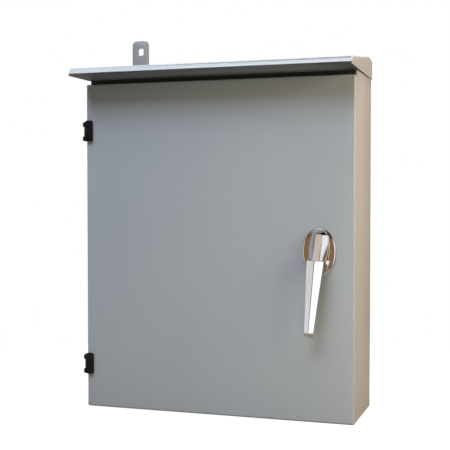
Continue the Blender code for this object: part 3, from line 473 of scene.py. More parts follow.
LOOKS = {
    "grey_paint": grey_paint("grey_paint", (0.290, 0.318, 0.352), (0.308, 0.335, 0.368)),
    # The tab's paint is a darker copy of the grey paint, as painted shade: the lamps light the tab more than the
    # door.
    "tab_paint_darkened_as_shade": grey_paint("tab_paint_darkened_as_shade", (0.205, 0.222, 0.238), (0.222, 0.238, 0.252)),
    "zinc": zinc(),
    "chrome": chrome(),
    "black_hinge": uneven("black_hinge", (0.004, 0.004, 0.005), (0.008, 0.008, 0.009), (0.50, 0.62), 60.0,
                          1300.0,
                          0.12, worn=(0.045, 0.045, 0.045), Specular_IOR_Level=0.2),
    "rubber": uneven("rubber", (0.012, 0.012, 0.013), (0.026, 0.026, 0.026), (0.62, 0.80), 50.0, 1600.0,
                     0.20),
    "copper": machined("copper", (0.66, 0.30, 0.17), (0.86, 0.47, 0.30), (0.22, 0.36), (1.0, 1.0, 0.06)),
    "tin": machined("tin", (0.56, 0.56, 0.54), (0.70, 0.70, 0.68), (0.26, 0.40), (1.0, 1.0, 0.08)),
    "brass": machined("brass", (0.60, 0.43, 0.17), (0.78, 0.60, 0.28), (0.22, 0.36), (0.06, 1.0, 1.0)),
    "plate": uneven("plate", (0.47, 0.48, 0.49), (0.58, 0.58, 0.57), (0.36, 0.48), 11.0, 900.0, 0.10,
                    Metallic=0.45),
    "steel": machined("steel", (0.34, 0.34, 0.35), (0.50, 0.50, 0.51), (0.28, 0.42), (0.08, 1.0, 1.0)),
    "dark_moulding": uneven("dark_moulding", (0.026, 0.027, 0.030), (0.044, 0.045, 0.050), (0.42, 0.56), 30.0,
                            1500.0, 0.18, worn=(0.10, 0.10, 0.11)),
    "red_moulding": uneven("red_moulding", (0.235, 0.034, 0.022), (0.335, 0.055, 0.036), (0.36, 0.52), 26.0,
                           1300.0, 0.14, worn=(0.44, 0.14, 0.10)),
    "grey_moulding": uneven("grey_moulding", (0.375, 0.385, 0.395), (0.445, 0.455, 0.460), (0.42, 0.55), 24.0,
                            1500.0, 0.16, worn=(0.56, 0.56, 0.56)),
    "white_moulding": uneven("white_moulding", (0.66, 0.66, 0.63), (0.76, 0.76, 0.74), (0.36, 0.48), 24.0,
                             1500.0, 0.10),
    "green_moulding": uneven("green_moulding", (0.045, 0.24, 0.09), (0.075, 0.34, 0.14), (0.34, 0.46), 80.0,
                             1500.0, 0.10),
    "clear_pocket": clear_plastic(),
    "winding": winding_look(),
    "tape": uneven("tape", (0.42, 0.28, 0.03), (0.56, 0.40, 0.06), (0.24, 0.36), 60.0, 900.0, 0.10),
    "cable": braid(),
    "laminations": laminated(),
    "display": display_glass(),
    "nylon": uneven("nylon", (0.70, 0.69, 0.64), (0.80, 0.79, 0.74), (0.40, 0.52), 60.0, 1500.0, 0.08,
                    Subsurface_Weight=0.08),
    "lamp_green": uneven("lamp_green", (0.03, 0.32, 0.07), (0.05, 0.42, 0.10), (0.10, 0.20), 90.0, 800.0,
                         0.03,
                         Coat_Weight=0.5),
    "lamp_red": uneven("lamp_red", (0.40, 0.02, 0.015), (0.50, 0.03, 0.02), (0.10, 0.20), 90.0, 800.0, 0.03,
                       Coat_Weight=0.5),
}

# Pieces -----------------------------------------------------------------------------------------


def piece(name, shape, look, body=None, stands_for=(), smooth=32):
    """An object of the scene from a form or mesh, which rides on its body."""
    nodes = (stands_for,) if isinstance(stands_for, str) else tuple(stands_for)
    mesh = shape.mesh(name) if isinstance(shape, Form) else shape
    mesh.name = name
    mesh.materials.clear()
    mesh.materials.append(LOOKS[look])
    mesh.shade_smooth()
    mesh.set_sharp_from_angle(angle=radians(smooth))
    obj = bpy.data.objects.new(name, mesh)
    bpy.context.scene.collection.objects.link(obj)
    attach(obj, body or BODY_OF[nodes[0]])
    if nodes:
        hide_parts(*nodes)
    return obj


# Fasteners, modelled along +Z with the seat at z = 0 ----------------------------------------------


def screw_head(radius, height, drive="cross"):
    """Pan head with a cross recess or a slot."""
    head = Form().turned("Z", (0, 0),
                         [(-0.0004, radius * 0.98), (height * 0.25, radius), (height * 0.62, radius * 0.93),
                                       (height * 0.88, radius * 0.72), (height, radius * 0.40), (height, 0)],
                                       24)
    arm, width = radius * 0.62, radius * 0.13
    cuts = [Form().block((-arm, arm), (-width, width), (height * 0.35, height * 2))]
    if drive == "cross":
        cuts.append(Form().block((-width, width), (-arm, arm), (height * 0.35, height * 2)))
    else:
        cuts = [Form().block((-radius * 2, radius * 2), (-width, width), (height * 0.5, height * 2))]
    return carved(head, *cuts)


def socket_head(radius, height):
    """Round clamping screw with a hexagon socket."""
    head = Form().turned("Z", (0, 0),
                         [(-height, radius * 0.96), (height * 0.7, radius * 0.96), (height, radius * 0.84),
                                       (height, 0)], 24)
    return carved(head, Form().turned("Z", (0, 0),
                                      [(-height * 0.2, radius * 0.5), (height * 2, radius * 0.5)], 6))


def nut_on_stud(across, height, stud_r, stud_h):
    """Washer, hexagon nut and the end of its threaded stud."""
    form = Form()
    form.turned("Z", (0, 0), [(0, across * 0.62), (0.0010, across * 0.62), (0.0012, across * 0.58),
                              (0.0012, 0)], 32)
    crown = across / 2 / cos(pi / 6)
    form.turned("Z", (0, 0), [(0.0011, crown * 0.93), (0.0016, crown), (height - 0.0006, crown),
                              (height, crown * 0.90), (height, 0)], 6)
    turns = max(2, round((stud_h - height) / 0.00125))
    thread = [(height - 0.001, stud_r)]
    for i in range(turns):
        z = height + (stud_h - height) * i / turns
        pitch = (stud_h - height) / turns
        thread += [(z + pitch * 0.15, stud_r), (z + pitch * 0.60, stud_r * 0.87)]
    form.turned("Z", (0, 0), thread + [(stud_h, stud_r * 0.82), (stud_h + 0.0004, stud_r * 0.6),
                                       (stud_h + 0.0004, 0)], 24)
    return form.mesh("nut_on_stud")


SCREW_3 = screw_head(0.0030, 0.0020)
SCREW_4 = screw_head(0.0040, 0.0026)
SLOTTED_3 = screw_head(0.0026, 0.0016, "slot")
SLOTTED_2 = screw_head(0.0018, 0.0010, "slot")
SOCKET_M8 = socket_head(0.0046, 0.0010)
NUT_M8 = nut_on_stud(0.013, 0.0068, 0.0039, 0.0118)
NUT_M4 = nut_on_stud(0.007, 0.0034, 0.0019, 0.0056)


def fasteners(name, template, matrices, body, look="zinc"):
    """A group of equal fasteners as one piece."""
    form = Form()
    for matrix in matrices:
        form.stamp(template, matrix)
    return piece(name, form, look, body)


# Enclosure --------------------------------------------------------------------------------------

X1 = HIGH["enclosure_body"].x
Z0, Z_TOP = LOW["enclosure_body"].z, HIGH["enclosure_body"].z
Y_FLANGE = HIGH["door_panel"].y + GAP
Y_FRONT = LOW["door_panel"].y
Y_SKIN = Y_FRONT + SHEET
DOOR_TOP = HIGH["door_panel"].z
LIP_FRONT = LOW["enclosure_body"].y
FLANGE = 0.022
OPEN_X = X1 - FLANGE - SHEET
OPEN_LOW, OPEN_HIGH = Z0 + FLANGE + SHEET, DOOR_TOP - FLANGE - SHEET
STUDS = [(sx * 0.205, sz * 0.250) for sx in (-1, 1) for sz in (-1, 1)]
WALL_HOLES = [(sx * 0.222, sz * 0.275) for sx in (-1, 1) for sz in (-1, 1)]


def oriented(bm, axis, sign):
    """A mesh from a bmesh, turned so that its largest face looks along an axis."""
    bmesh.ops.recalc_face_normals(bm, faces=bm.faces)
    if max(bm.faces, key=lambda f: f.calc_area()).normal[axis] * sign < 0:
        bmesh.ops.reverse_faces(bm, faces=bm.faces)
    return to_mesh(bm, "skin")


def shell(rings, sign):
    """Outer skin through rings, closed at the first one, whose face looks along y."""
    bm = bmesh.new()
    rows = [[bm.verts.new(point) for point in ring] for ring in rings]
    for low, high in zip(rows, rows[1:]):
        for i in range(len(low)):
            bm.faces.new((low[i - 1], low[i], high[i], high[i - 1]))
    bm.faces.new(rows[0])
    return oriented(bm, 1, sign)


def pan_skin(x, y, z, r):
    """Outer skin of a five-sided pan, open at its high y end, with rounded bends."""
    (x0, x1), (y0, y1), (z0, z1) = x, y, z
    rings = []
    for k in range(5):
        inset, back = r * (1 - sin(pi / 8 * k)), r * (1 - cos(pi / 8 * k))
        rings.append([(a, y0 + back, b) for a, b in
                      rounded((x0 + inset, x1 - inset), (z0 + inset, z1 - inset), max(r - inset, 0.0002))])
    rings.append([(a, y1, b) for a, b in rounded(x, z, r)])
    return shell(rings, -1)


def enclosure():
    """Welded steel box: rounded bends, front flange, forward lip, wall holes and cable cut-out."""
    loops = [[(a, 0.0, b) for a, b in rounded((-X1 + BEND, X1 - BEND), (Z0 + BEND, Z_TOP - BEND), 0.0002)]]
    bends = [(1 - sin(pi / 8 * k), -BEND * (1 - cos(pi / 8 * k))) for k in range(1, 5)]
    bends += [(1 - cos(pi / 8 * k), Y_FLANGE + BEND * (1 - sin(pi / 8 * k))) for k in range(5)]
    for share, y in bends:
        inset = BEND * share
        loops.append([(a, y, b) for a, b in rounded((-X1 + inset, X1 - inset), (Z0 + inset, Z_TOP - inset),
                                                    max(BEND - inset, 0.0002))])
    corner, bend = 0.0045, 0.0012
    turns = [(bend * (1 - sin(pi / 6 * k)), Y_FLANGE - bend * (1 - cos(pi / 6 * k))) for k in range(4)]
    for grow, y in turns + [(0, LIP_FRONT)]:
        reach = SHEET + grow
        loops.append([(a, y, b) for a, b in rounded((-OPEN_X - reach, OPEN_X + reach),
                                                    (OPEN_LOW - reach, OPEN_HIGH + reach), corner + grow)])
    cutters = [rod("Y", hole, (-0.01, 0.01), 0.0045, 24) for hole in WALL_HOLES]
    cutters.append(Form().prism("Z", (Z0 - 0.01, Z0 + 0.01),
                                rounded((-0.150, 0.150), (-0.112, -0.032), 0.006)))
    piece("enclosure_sheet", carved(sheet_from(shell(loops, 1)), *cutters), "grey_paint",
          stands_for="enclosure_body")


def enclosure_details():
    """Weld seams at the back corners, panel studs and their nuts."""
    welds = Form()
    for sx in (-1, 1):
        x = sx * (X1 - SHEET - 0.0006)
        for sz in (-1, 1):
            z = (Z0 + SHEET + 0.0006) if sz < 0 else (Z_TOP - SHEET - 0.0006)
            for k in range(9):
                y = -0.012 - k * 0.0135
                welds.turned("Y", (x, z), [(y - 0.0045, 0.0004), (y - 0.0036, 0.0013), (y, 0.0017),
                                           (y + 0.0036, 0.0013),
                                           (y + 0.0045, 0.0004)], 10)
    piece("corner_welds", welds, "grey_paint", "cabinet")
    studs = Form()
    for x, z in STUDS:
        studs.turned("Y", (x, z), [(-SHEET + 0.0002, 0.0068), (-SHEET - 0.0008, 0.0062),
                                   (-SHEET - 0.0020, 0.0042),
                                   (-0.0170, 0.0038), (-0.0170, 0)], 20)
    piece("panel_studs", studs, "zinc", "cabinet")
    face = LOW["sub_panel"].y + 0.010
    fasteners("panel_nuts", NUT_M8, [ahead((x, face, z)) for x, z in STUDS], "cabinet")


def hood_section(y, top, half, drop, bottom):
    """Cross-section of the hood's outer skin: cheek, round bend, roof, bend, cheek."""
    run, fall = 0.0040, 0.0032
    left = [(-half, bottom)] + arc((-half + run, top - fall), (run, fall), 180, 90)
    right = arc((half - run, top - fall), (run, fall), 90, 0) + [(half, bottom)]
    return [(a, y + drop, b) for a, b in left + right]


def rain_hood():
    """Folded hood: leaning front lip, flared cheeks, ridged roof, and the web over the door."""
    low, high = LOW["rain_hood"], HIGH["rain_hood"]
    cheek = low.z
    lip_low = cheek + 0.0040
    front, back = low.y, high.y
    lip_top, ridge_top, back_top = cheek + 0.0138, high.z, high.z - 0.0036
    ridge = -0.034
    lean = 0.0045
    half_front, half_back = high.x, high.x - 0.0042
    def half(y):
        return half_back + (half_front - half_back) * y / front
    sections = [hood_section(front + lean, lip_top, half(front + lean), 0, cheek),
                hood_section(ridge, ridge_top, half(ridge), 0, cheek),
                hood_section(back, back_top, half(back), 0, cheek)]
    bm = bmesh.new()
    def pair(x, y, z):
        return [bm.verts.new((sx * x, y, z)) for sx in (-1, 1)]
    rows = [[bm.verts.new(point) for point in ring] for ring in sections]
    sill = pair(half(back), back, Z_TOP + GAP)
    last = len(rows[0]) - 2
    for a, b in zip(rows, rows[1:]):
        for i in range(last + 1):
            corner = [sill[i > 0]] if b is rows[-1] and i in (0, last) else []
            bm.faces.new((a[i], a[i + 1], b[i + 1], *corner, b[i]))
    foot = pair(half(front) - 0.0002, front, lip_low)
    toe = pair(half(front) - 0.0001, front, cheek)
    first = rows[0]
    bm.faces.new((*first[1:-1], foot[1], foot[0]))
    bm.faces.new((first[0], first[1], foot[0], toe[0]))
    bm.faces.new((first[-2], first[-1], toe[1], foot[1]))
    bm.faces.new((*rows[-1][1:-1], sill[1], sill[0]))
    bmesh.ops.recalc_face_normals(bm, faces=bm.faces)
    roof = max(bm.faces, key=lambda f: f.calc_area())
    if roof.normal.z < 0:
        bmesh.ops.reverse_faces(bm, faces=bm.faces)
    bends = [e for e in bm.edges if len(e.link_faces) == 2 and e.calc_face_angle(0) > radians(40)
             and abs(e.verts[0].co.y - e.verts[1].co.y) < 0.0001]
    bmesh.ops.bevel(bm, geom=bends, offset=0.0018, segments=3, profile=0.5, affect="EDGES",
                    clamp_overlap=True)
    skin = to_mesh(bm, "skin")
    tab_low, tab_high = LOW["hanging_tab"], HIGH["hanging_tab"]
    notch = Form().block((tab_low.x - 0.0012, tab_high.x + 0.0012), (-0.0046, 0.01),
                         (Z_TOP - 0.004, ridge_top + 0.02))
    piece("hood_sheet", carved(sheet_from(skin), notch), "grey_paint", stands_for="rain_hood")

    y = Y_FLANGE - 0.0020
    top = lip_top + (ridge_top - lip_top) * (y - front) / (ridge - front)
    inner = half(y) - SHEET - 0.0002
    web = Form().prism("Y", (y, y + SHEET), [(-inner, cheek), (inner, cheek), (inner, top - 0.0075),
                                             (inner - 0.0065, top - SHEET - 0.0003),
                                             (-inner + 0.0065, top - SHEET - 0.0003), (-inner, top - 0.0075)],
                                             0.0003)
    piece("hood_web", web, "grey_paint", "cabinet")


def rain_seal():
    """Rubber seal with a rounded nose and a hollow lower edge; its black also stands in for the deep shade in the
    gap above the door top, as painted shade.
    """
    low, high = LOW["rain_seal"], HIGH["rain_seal"]
    outline = [(high.y, low.z), (high.y, high.z)] + arc((low.y + 0.004, high.z - 0.004), 0.004, 90, 180, 5)
    outline += [(low.y, low.z + 0.0006), (low.y + 0.0006, low.z), (low.y + 0.0022, low.z + 0.0004)]
    outline += arc(((low.y + high.y) / 2, low.z), (0.0034, 0.0030), 170, 10, 6)
    # Partly a real seal, partly a dark strip that stands for the shade in the gap above the door.
    piece("rain_seal_strip_as_gap_shade", Form().prism("X", (low.x + 0.003, high.x - 0.003), outline, 0.0002, 1, 50),
          "rubber", stands_for="rain_seal")


def hanging_tab():
    """Bent tab with round corners, a rounded slot, and a weld on its foot."""
    low, high = LOW["hanging_tab"], HIGH["hanging_tab"]
    t, r = 0.003, 0.009
    x0, x1 = low.x, high.x
    outline = [(x0, low.z), (x1, low.z)] + arc((x1 - r, high.z - r), r, 0, 90, 8) + arc((x0 + r, high.z - r),
                                                                                        r, 90, 180, 8)
    plate = Form().prism("Y", (high.y - t, high.y), outline, 0.0005, 2, 40)
    middle, slot_z = (x0 + x1) / 2 + 0.0008, Z0 + 0.6759
    slot = Form().prism("Y", (-0.02, 0.01),
                        rounded((middle - 0.0057, middle + 0.0057), (slot_z - 0.007, slot_z + 0.007), 0.0032))
    foot_outline = [(high.y - t - 0.0002, low.z), (low.y, low.z), (low.y, low.z + t),
                    (high.y - t - 0.003, low.z + t)]
    foot_outline += arc((high.y - t - 0.0030, low.z + t + 0.0028), 0.0028, -90, 0, 4)
    foot = Form().prism("X", (x0, x1), foot_outline, 0.0004, 2, 40)
    hole = Form().turned("Z", ((x0 + x1) / 2, low.y + 0.0106),
                         [(low.z - 0.01, 0.0034), (low.z + 0.01, 0.0034)], 20)
    # The tab takes the darker copy of the grey paint, as painted shade.
    piece("hanging_tab_plate", carved(united(plate, foot), slot, hole), "tab_paint_darkened_as_shade",
          stands_for="hanging_tab")


def gland_plate():
    """Cable entry plate with screws, and stepped rubber grommets."""
    low, high = LOW["gland_plate"], HIGH["gland_plate"]
    holes, screws = [], []
    for i in (1, 2, 3):
        a, b = LOW[f"cable_grommet_{i}"], HIGH[f"cable_grommet_{i}"]
        centre = ((a.x + b.x) / 2, (a.y + b.y) / 2)
        holes.append(Form().turned("Z", centre, [(low.z - 0.01, 0.0265), (high.z + 0.01, 0.0265)], 40))
        r = (b.x - a.x) / 2
        profile = [(b.z - 0.0014, r * 0.62), (b.z - 0.0002, r * 0.72), (b.z, r * 0.86),
                   (b.z - 0.0008, r * 0.97),
                   (b.z - 0.0020, r), (high.z + GAP, r), (high.z + GAP, 0.0260), (a.z + 0.0010, 0.0260),
                   (a.z, 0.0250)]
        steps = [(a.z, 0.0222), (a.z + 0.0016, 0.0218), (a.z + 0.0012, 0.0160), (a.z + 0.0024, 0.0156),
                 (a.z + 0.0020, 0.0100), (a.z + 0.0032, 0.0096), (a.z + 0.0028, 0.0)]
        inside = [(b.z - 0.0030, 0.0), (b.z - 0.0030, r * 0.55)]
        form = Form().turned("Z", centre, inside + profile + steps, 40)
        piece(f"grommet_{i}", form, "rubber", stands_for=f"cable_grommet_{i}")
    plate = Form().prism("Z", (low.z, high.z), rounded((low.x, high.x), (low.y, high.y), 0.006), 0.0003, 1,
                         50)
    piece("gland_plate_sheet", carved(plate, *holes), "zinc", stands_for="gland_plate")
    middle = (low.y + high.y) / 2
    for x in (low.x + 0.0075, -0.052, 0.052, high.x - 0.0075):
        for y in (middle - 0.046, middle + 0.046):
            screws.append(facing("Z", 1, (x, y, high.z)))
    fasteners("gland_plate_screws", SCREW_3, screws, "cabinet")


# Door -------------------------------------------------------------------------------------------

HANDLE = Vector(JOINT["handle_turn"]["pos_m"])
TILT = radians(4.6)


def door():
    """Folded door pan and its foam gasket."""
    hole = Form().turned("Y", (HANDLE.x, HANDLE.z), [(Y_FRONT - 0.01, 0.0104), (Y_SKIN + 0.01, 0.0104)], 40)
    skin = pan_skin((-X1, X1), (Y_FRONT, Y_FLANGE - GAP), (Z0, DOOR_TOP), BEND)
    piece("door_sheet", carved(sheet_from(skin), hole), "grey_paint", stands_for="door_panel")

    low, high = LOW["door_gasket"], HIGH["door_gasket"]
    rim = 0.0075
    profile = [(0.0, Y_SKIN + GAP)] + [(2 * rim * k / 8, high.y - 0.0016 * (2 * k / 8 - 1) ** 2)
                                       for k in range(9)]
    profile += [(2 * rim, Y_SKIN + GAP)]
    rings = []
    for grow, y in profile:
        rings.append([(a, y, b) for a, b in
                      rounded((low.x + 2 * rim - grow, high.x - 2 * rim + grow),
                              (low.z + 2 * rim - grow, high.z - 2 * rim + grow), 0.003 + grow)])
    count = len(rings[0])
    points = [point for ring in rings for point in ring]
    faces = [(k * count + i, k * count + (i + 1) % count, ((k + 1) % len(rings)) * count + (i + 1) % count,
              ((k + 1) % len(rings)) * count + i) for k in range(len(rings)) for i in range(count)]
    piece("gasket_foam", Form().solid(points, faces), "rubber", stands_for="door_gasket")


def document_pocket():
    """Vacuum-formed pocket: rounded tray with a thumb scoop."""
    low, high = LOW["document_pocket"], HIGH["document_pocket"]
    wall = 0.0018
    outer = Form().prism("Y", (low.y, high.y), rounded((low.x, high.x), (low.z, high.z), 0.006), 0.0012, 3,
                         50)
    inner = Form().prism("Y", (low.y + wall, high.y - wall),
                         rounded((low.x + wall, high.x - wall), (low.z + wall, high.z + 0.03), 0.005), 0.0008,
                         2, 50)
    middle = (low.x + high.x) / 2
    scoop = Form().turned("Y", (middle, high.z + 0.012), [(high.y - 0.004, 0.045), (high.y + 0.004, 0.045)],
                          48)
    piece("document_pocket_tray", carved(outer, inner, scoop), "clear_pocket", stands_for="document_pocket")


def hinge(tag):
    """Black block leaf with two eyes, a bracket with its knuckle, and a headed pin."""
    low, high = LOW[f"hinge_leaf_{tag}"], HIGH[f"hinge_leaf_{tag}"]
    pivot = Vector(JOINT["door_hinge"]["pos_m"])
    axis = (pivot.x, pivot.y)
    z0, z1 = low.z, high.z
    face = Y_FRONT - GAP
    x0, x1 = -0.2510, high.x
    block = Form().loft([[(x, y, z) for x,
                          y in rounded((x0 + inset, x1 - inset), (face - 0.0060 + inset * 0.8, face), 0.0012)]
                         for inset, z in ((0.0012, z0), (0.0, z0 + 0.0016), (0.0, z1 - 0.0030),
                                          (0.0016, z1))], 0.0003, 1, 40)
    parts, bores = [], []
    for a, b in ((0.0009, 0.0094), (0.0269, 0.0349)):
        parts.append(Form().turned("Z", axis,
                                   [(z0 + a, 0.0028), (z0 + a + 0.0005, 0.0032), (z0 + b - 0.0005, 0.0032),
                                               (z0 + b, 0.0028)], 28))
        parts.append(Form().block((pivot.x - 0.0022, -0.2490), (face - 0.0040, face), (z0 + a, z0 + b),
                                  0.0004))
        bores.append(Form().turned("Z", axis, [(z0 + a - 0.002, PIN_BORE), (z0 + b + 0.002, PIN_BORE)], 24))
    piece(f"hinge_block_{tag}", carved(united(block, *parts), *bores), "black_hinge",
          stands_for=f"hinge_leaf_{tag}")

    low, high = LOW[f"hinge_bracket_{tag}"], HIGH[f"hinge_bracket_{tag}"]
    side = (-X1 - GAP - 0.0025, -X1 - GAP)
    arm = (z0 + 0.0097, z0 + 0.0266)
    plate = Form().prism("X", side, rounded((Y_FLANGE + 0.003, high.y), (low.z, high.z), 0.003), 0.0004, 2,
                         50)
    strap = Form().block(side, (pivot.y, Y_FLANGE + 0.008), arm, 0.0004)
    knuckle = Form().turned("Z", axis,
                            [(arm[0], 0.0026), (arm[0] + 0.0004, 0.0029), (arm[1] - 0.0004, 0.0029),
                                        (arm[1], 0.0026)], 28)
    bore = Form().turned("Z", axis, [(arm[0] - 0.002, PIN_BORE), (arm[1] + 0.002, PIN_BORE)], 24)
    piece(f"hinge_strap_{tag}", carved(united(plate, strap, knuckle), bore), "zinc",
          stands_for=f"hinge_bracket_{tag}")
    low, high = LOW[f"hinge_pin_{tag}"], HIGH[f"hinge_pin_{tag}"]
    piece(f"pin_{tag}", Form().turned("Z", axis,
                                      [(low.z, 0.0009), (low.z + 0.0006, 0.0014), (high.z - 0.0017, 0.0014),
                                                  (high.z - 0.0016, 0.0024), (high.z - 0.0006, 0.0024),
                                                  (high.z, 0.0017), (high.z, 0)], 24),
          "zinc", stands_for=f"hinge_pin_{tag}")


# Handle and latch -------------------------------------------------------------------------------


def escutcheon():
    """Oval chromed plate with a rolled rim, a dished face, and the threaded neck behind."""
    low, high = LOW["handle_escutcheon"], HIGH["handle_escutcheon"]
    base = Y_FRONT - GAP
    rx, rz = (high.x - low.x) / 2, (high.z - low.z) / 2
    deep = base - low.y
    centre = (HANDLE.x, HANDLE.z)
    rim = [(0.0, 0.985), (0.05, 1.0), (0.62, 1.0), (0.78, 0.988), (0.89, 0.962), (0.955, 0.915), (0.99, 0.84),
           (1.0, 0.72), (0.98, 0.60), (0.93, 0.50), (0.90, 0.44), (0.90, 0.30)]
    rings = []
    for rise, scale in rim:
        rings.append([(centre[0] + rx * scale * cos(a), base - deep * rise, centre[1] + rz * scale * sin(a))
                      for a in (2 * pi * i / 64 for i in range(64))])
    plate = Form().loft(rings)
    neck_end = high.y
    thread = [(base - 0.001, 0.0098)]
    y = Y_SKIN + 0.001
    while y < neck_end - 0.002:
        thread += [(y, 0.0100), (y + 0.0007, 0.0093)]
        y += 0.0013
    neck = Form().turned("Y", centre, thread + [(neck_end, 0.0092)], 40)
    bore = Form().turned("Y", centre, [(Y_FRONT - 0.02, 0.0070), (neck_end + 0.02, 0.0070)], 32)
    piece("escutcheon_plate", carved(united(plate, neck), bore), "chrome", stands_for="handle_escutcheon")
    low, high = LOW["handle_nut"], HIGH["handle_nut"]
    nut = Form().turned("Y", centre, [(low.y, 0.0160), (low.y + 0.0005, 0.0165), (high.y - 0.0012, 0.0165),
                                      (high.y, 0.0150)], 6)
    hole = Form().turned("Y", centre, [(low.y - 0.01, 0.0104), (high.y + 0.01, 0.0104)], 40)
    piece("neck_nut", carved(nut, hole), "zinc", stands_for="handle_nut")


def lever_section(w, half, back, edge, top, band):
    """Cross-section of the lever at a height: back, shoulders and the raised band, tilted with it."""
    base = Y_FRONT - 0.0045
    ring = [(-half * 0.90, back), (-half, back + (edge - back) * 0.25), (-half, edge), (-band, top),
            (band, top),
            (half, edge), (half, back + (edge - back) * 0.25), (half * 0.90, back)]
    return [(HANDLE.x + u * cos(TILT) + w * sin(TILT), base - depth, HANDLE.z - u * sin(TILT) + w * cos(TILT))
            for u, depth in ring]


def handle():
    """Chromed L-handle: a ramped hub that runs into the ridged, tapering lever."""
    stations = (
        (0.0385, 0.0072, 0.0, 0.0016, 0.0048, 0.0050),
        (0.0350, 0.0108, 0.0, 0.0026, 0.0086, 0.0054),
        (0.0300, 0.0137, 0.0, 0.0042, 0.0114, 0.0058),
        (0.0150, 0.0162, 0.0, 0.0062, 0.0148, 0.0062),
        (0.0000, 0.0161, 0.0, 0.0084, 0.0180, 0.0064),
        (-0.0130, 0.0151, 0.0, 0.0104, 0.0206, 0.0066),
        (-0.0136, 0.0148, 0.0, 0.0256, 0.0322, 0.0008),
        (-0.0190, 0.0145, 0.0010, 0.0264, 0.0325, 0.0006),
        (-0.0260, 0.0142, 0.0150, 0.0268, 0.0328, 0.0005),
        (-0.0450, 0.0131, 0.0215, 0.0278, 0.0333, 0.0005),
        (-0.0900, 0.0104, 0.0240, 0.0293, 0.0342, 0.0005),
        (-0.1340, 0.0081, 0.0258, 0.0309, 0.0350, 0.0005),
        (-0.1372, 0.0079, 0.0259, 0.0310, 0.0350, 0.0005),
        (-0.1430, 0.0076, 0.0264, 0.0274, 0.0286, 0.0005),
    )
    lever = Form().loft([lever_section(*station) for station in stations], 0.0006, 2, 14)
    shank_end = HIGH["handle_lever"].y
    shank = Form().block((HANDLE.x - 0.0042, HANDLE.x + 0.0042), (Y_FRONT - 0.0110, shank_end),
                         (HANDLE.z - 0.0042, HANDLE.z + 0.0042), 0.0006)
    piece("lever_casting", united(lever, shank), "chrome", stands_for="handle_lever", smooth=14)

    low, high = LOW["latch_cam"], HIGH["latch_cam"]
    t = 0.003
    disc_r = HANDLE.x - low.x
    y = (low.y, low.y + t)
    body = Form().turned("Y", (HANDLE.x, HANDLE.z), [(y[0], disc_r - 0.0004), (y[0] + 0.0004, disc_r),
                                                     (y[1] - 0.0004, disc_r), (y[1], disc_r - 0.0004)], 48)
    reach = high.x
    tongue = Form().prism("Y", y, [(HANDLE.x, HANDLE.z - 0.011), (reach - 0.005, HANDLE.z - 0.008),
                                   (reach, HANDLE.z - 0.005), (reach, HANDLE.z + 0.005),
                                   (reach - 0.005, HANDLE.z + 0.008), (HANDLE.x, HANDLE.z + 0.011)], 0.0003)
    pins = []
    for k in (0, 1):
        angle = radians(42.5) + pi * k
        centre = (HANDLE.x + 0.020 * cos(angle), HANDLE.z + 0.020 * sin(angle))
        pins.append(Form().turned("Y", centre,
                                  [(y[0] + 0.001, 0.0024), (high.y - 0.0005, 0.0024), (high.y, 0.0019)], 20))
    square = Form().block((HANDLE.x - 0.0046, HANDLE.x + 0.0046), (low.y - 0.01, low.y + 0.01),
                          (HANDLE.z - 0.0046, HANDLE.z + 0.0046))
    piece("cam_plate", carved(united(body, tongue, *pins), square), "zinc", stands_for="latch_cam")
    cap = Form().turned("Y", (HANDLE.x, HANDLE.z),
                        [(y[1] + 0.0001, 0.0078), (y[1] + 0.0012, 0.0078), (y[1] + 0.0013, 0)], 32)
    crown = Form().turned("Y", (HANDLE.x, HANDLE.z), [(y[1] + 0.0011, 0.0054), (y[1] + 0.0045, 0.0058),
                                                      (y[1] + 0.0050, 0.0052), (y[1] + 0.0050, 0)], 6)
    piece("cam_bolt", united(cap, crown), "zinc", "handle")


def latch_rod(tag, sign):
    """Flat rod with a rounded, slotted eye and a tapered tip."""
    low, high = LOW[f"latch_rod_{tag}"], HIGH[f"latch_rod_{tag}"]
    x = (low.x + high.x) / 2
    eye, tip = (low.z, high.z) if sign > 0 else (high.z, low.z)
    pin = eye + sign * 0.0075
    half = 0.0052
    outline = arc((x, pin + sign * 0.001), 0.0085, 90 + 90 * sign, 270 + 90 * sign, 10)
    outline += [(x + sign * 0.0085, pin + sign * 0.009), (x + sign * half, pin + sign * 0.018),
                (x + sign * half, tip - sign * 0.012), (x + sign * 0.0026, tip - sign * 0.0006),
                (x + sign * 0.0018, tip), (x - sign * 0.0018, tip), (x - sign * 0.0026, tip - sign * 0.0006),
                (x - sign * half, tip - sign * 0.012), (x - sign * half, pin + sign * 0.018),
                (x - sign * 0.0085, pin + sign * 0.009)]
    bar = Form().prism("Y", (low.y, high.y), outline, 0.0004, 2, 30)
    slot = Form().prism("Y", (low.y - 0.01, high.y + 0.01),
                        rounded((x - 0.0058, x + 0.0058), (pin - 0.0033, pin + 0.0033), 0.0030))
    piece(f"rod_{tag}", carved(bar, slot), "zinc", stands_for=f"latch_rod_{tag}")

    low, high = LOW[f"rod_guide_{tag}"], HIGH[f"rod_guide_{tag}"]
    rod_y = (LOW[f"latch_rod_{tag}"].y - 0.0005, HIGH[f"latch_rod_{tag}"].y + 0.0005)
    block = Form().block((low.x, high.x), (low.y, high.y), (low.z, high.z), 0.0012, 3)
    way = Form().block((x - 0.0056, x + 0.0056), rod_y, (low.z - 0.01, high.z + 0.01))
    piece(f"guide_{tag}", carved(block, way), "dark_moulding", stands_for=f"rod_guide_{tag}")


# Carried-over nodes -------------------------------------------------------------------------------


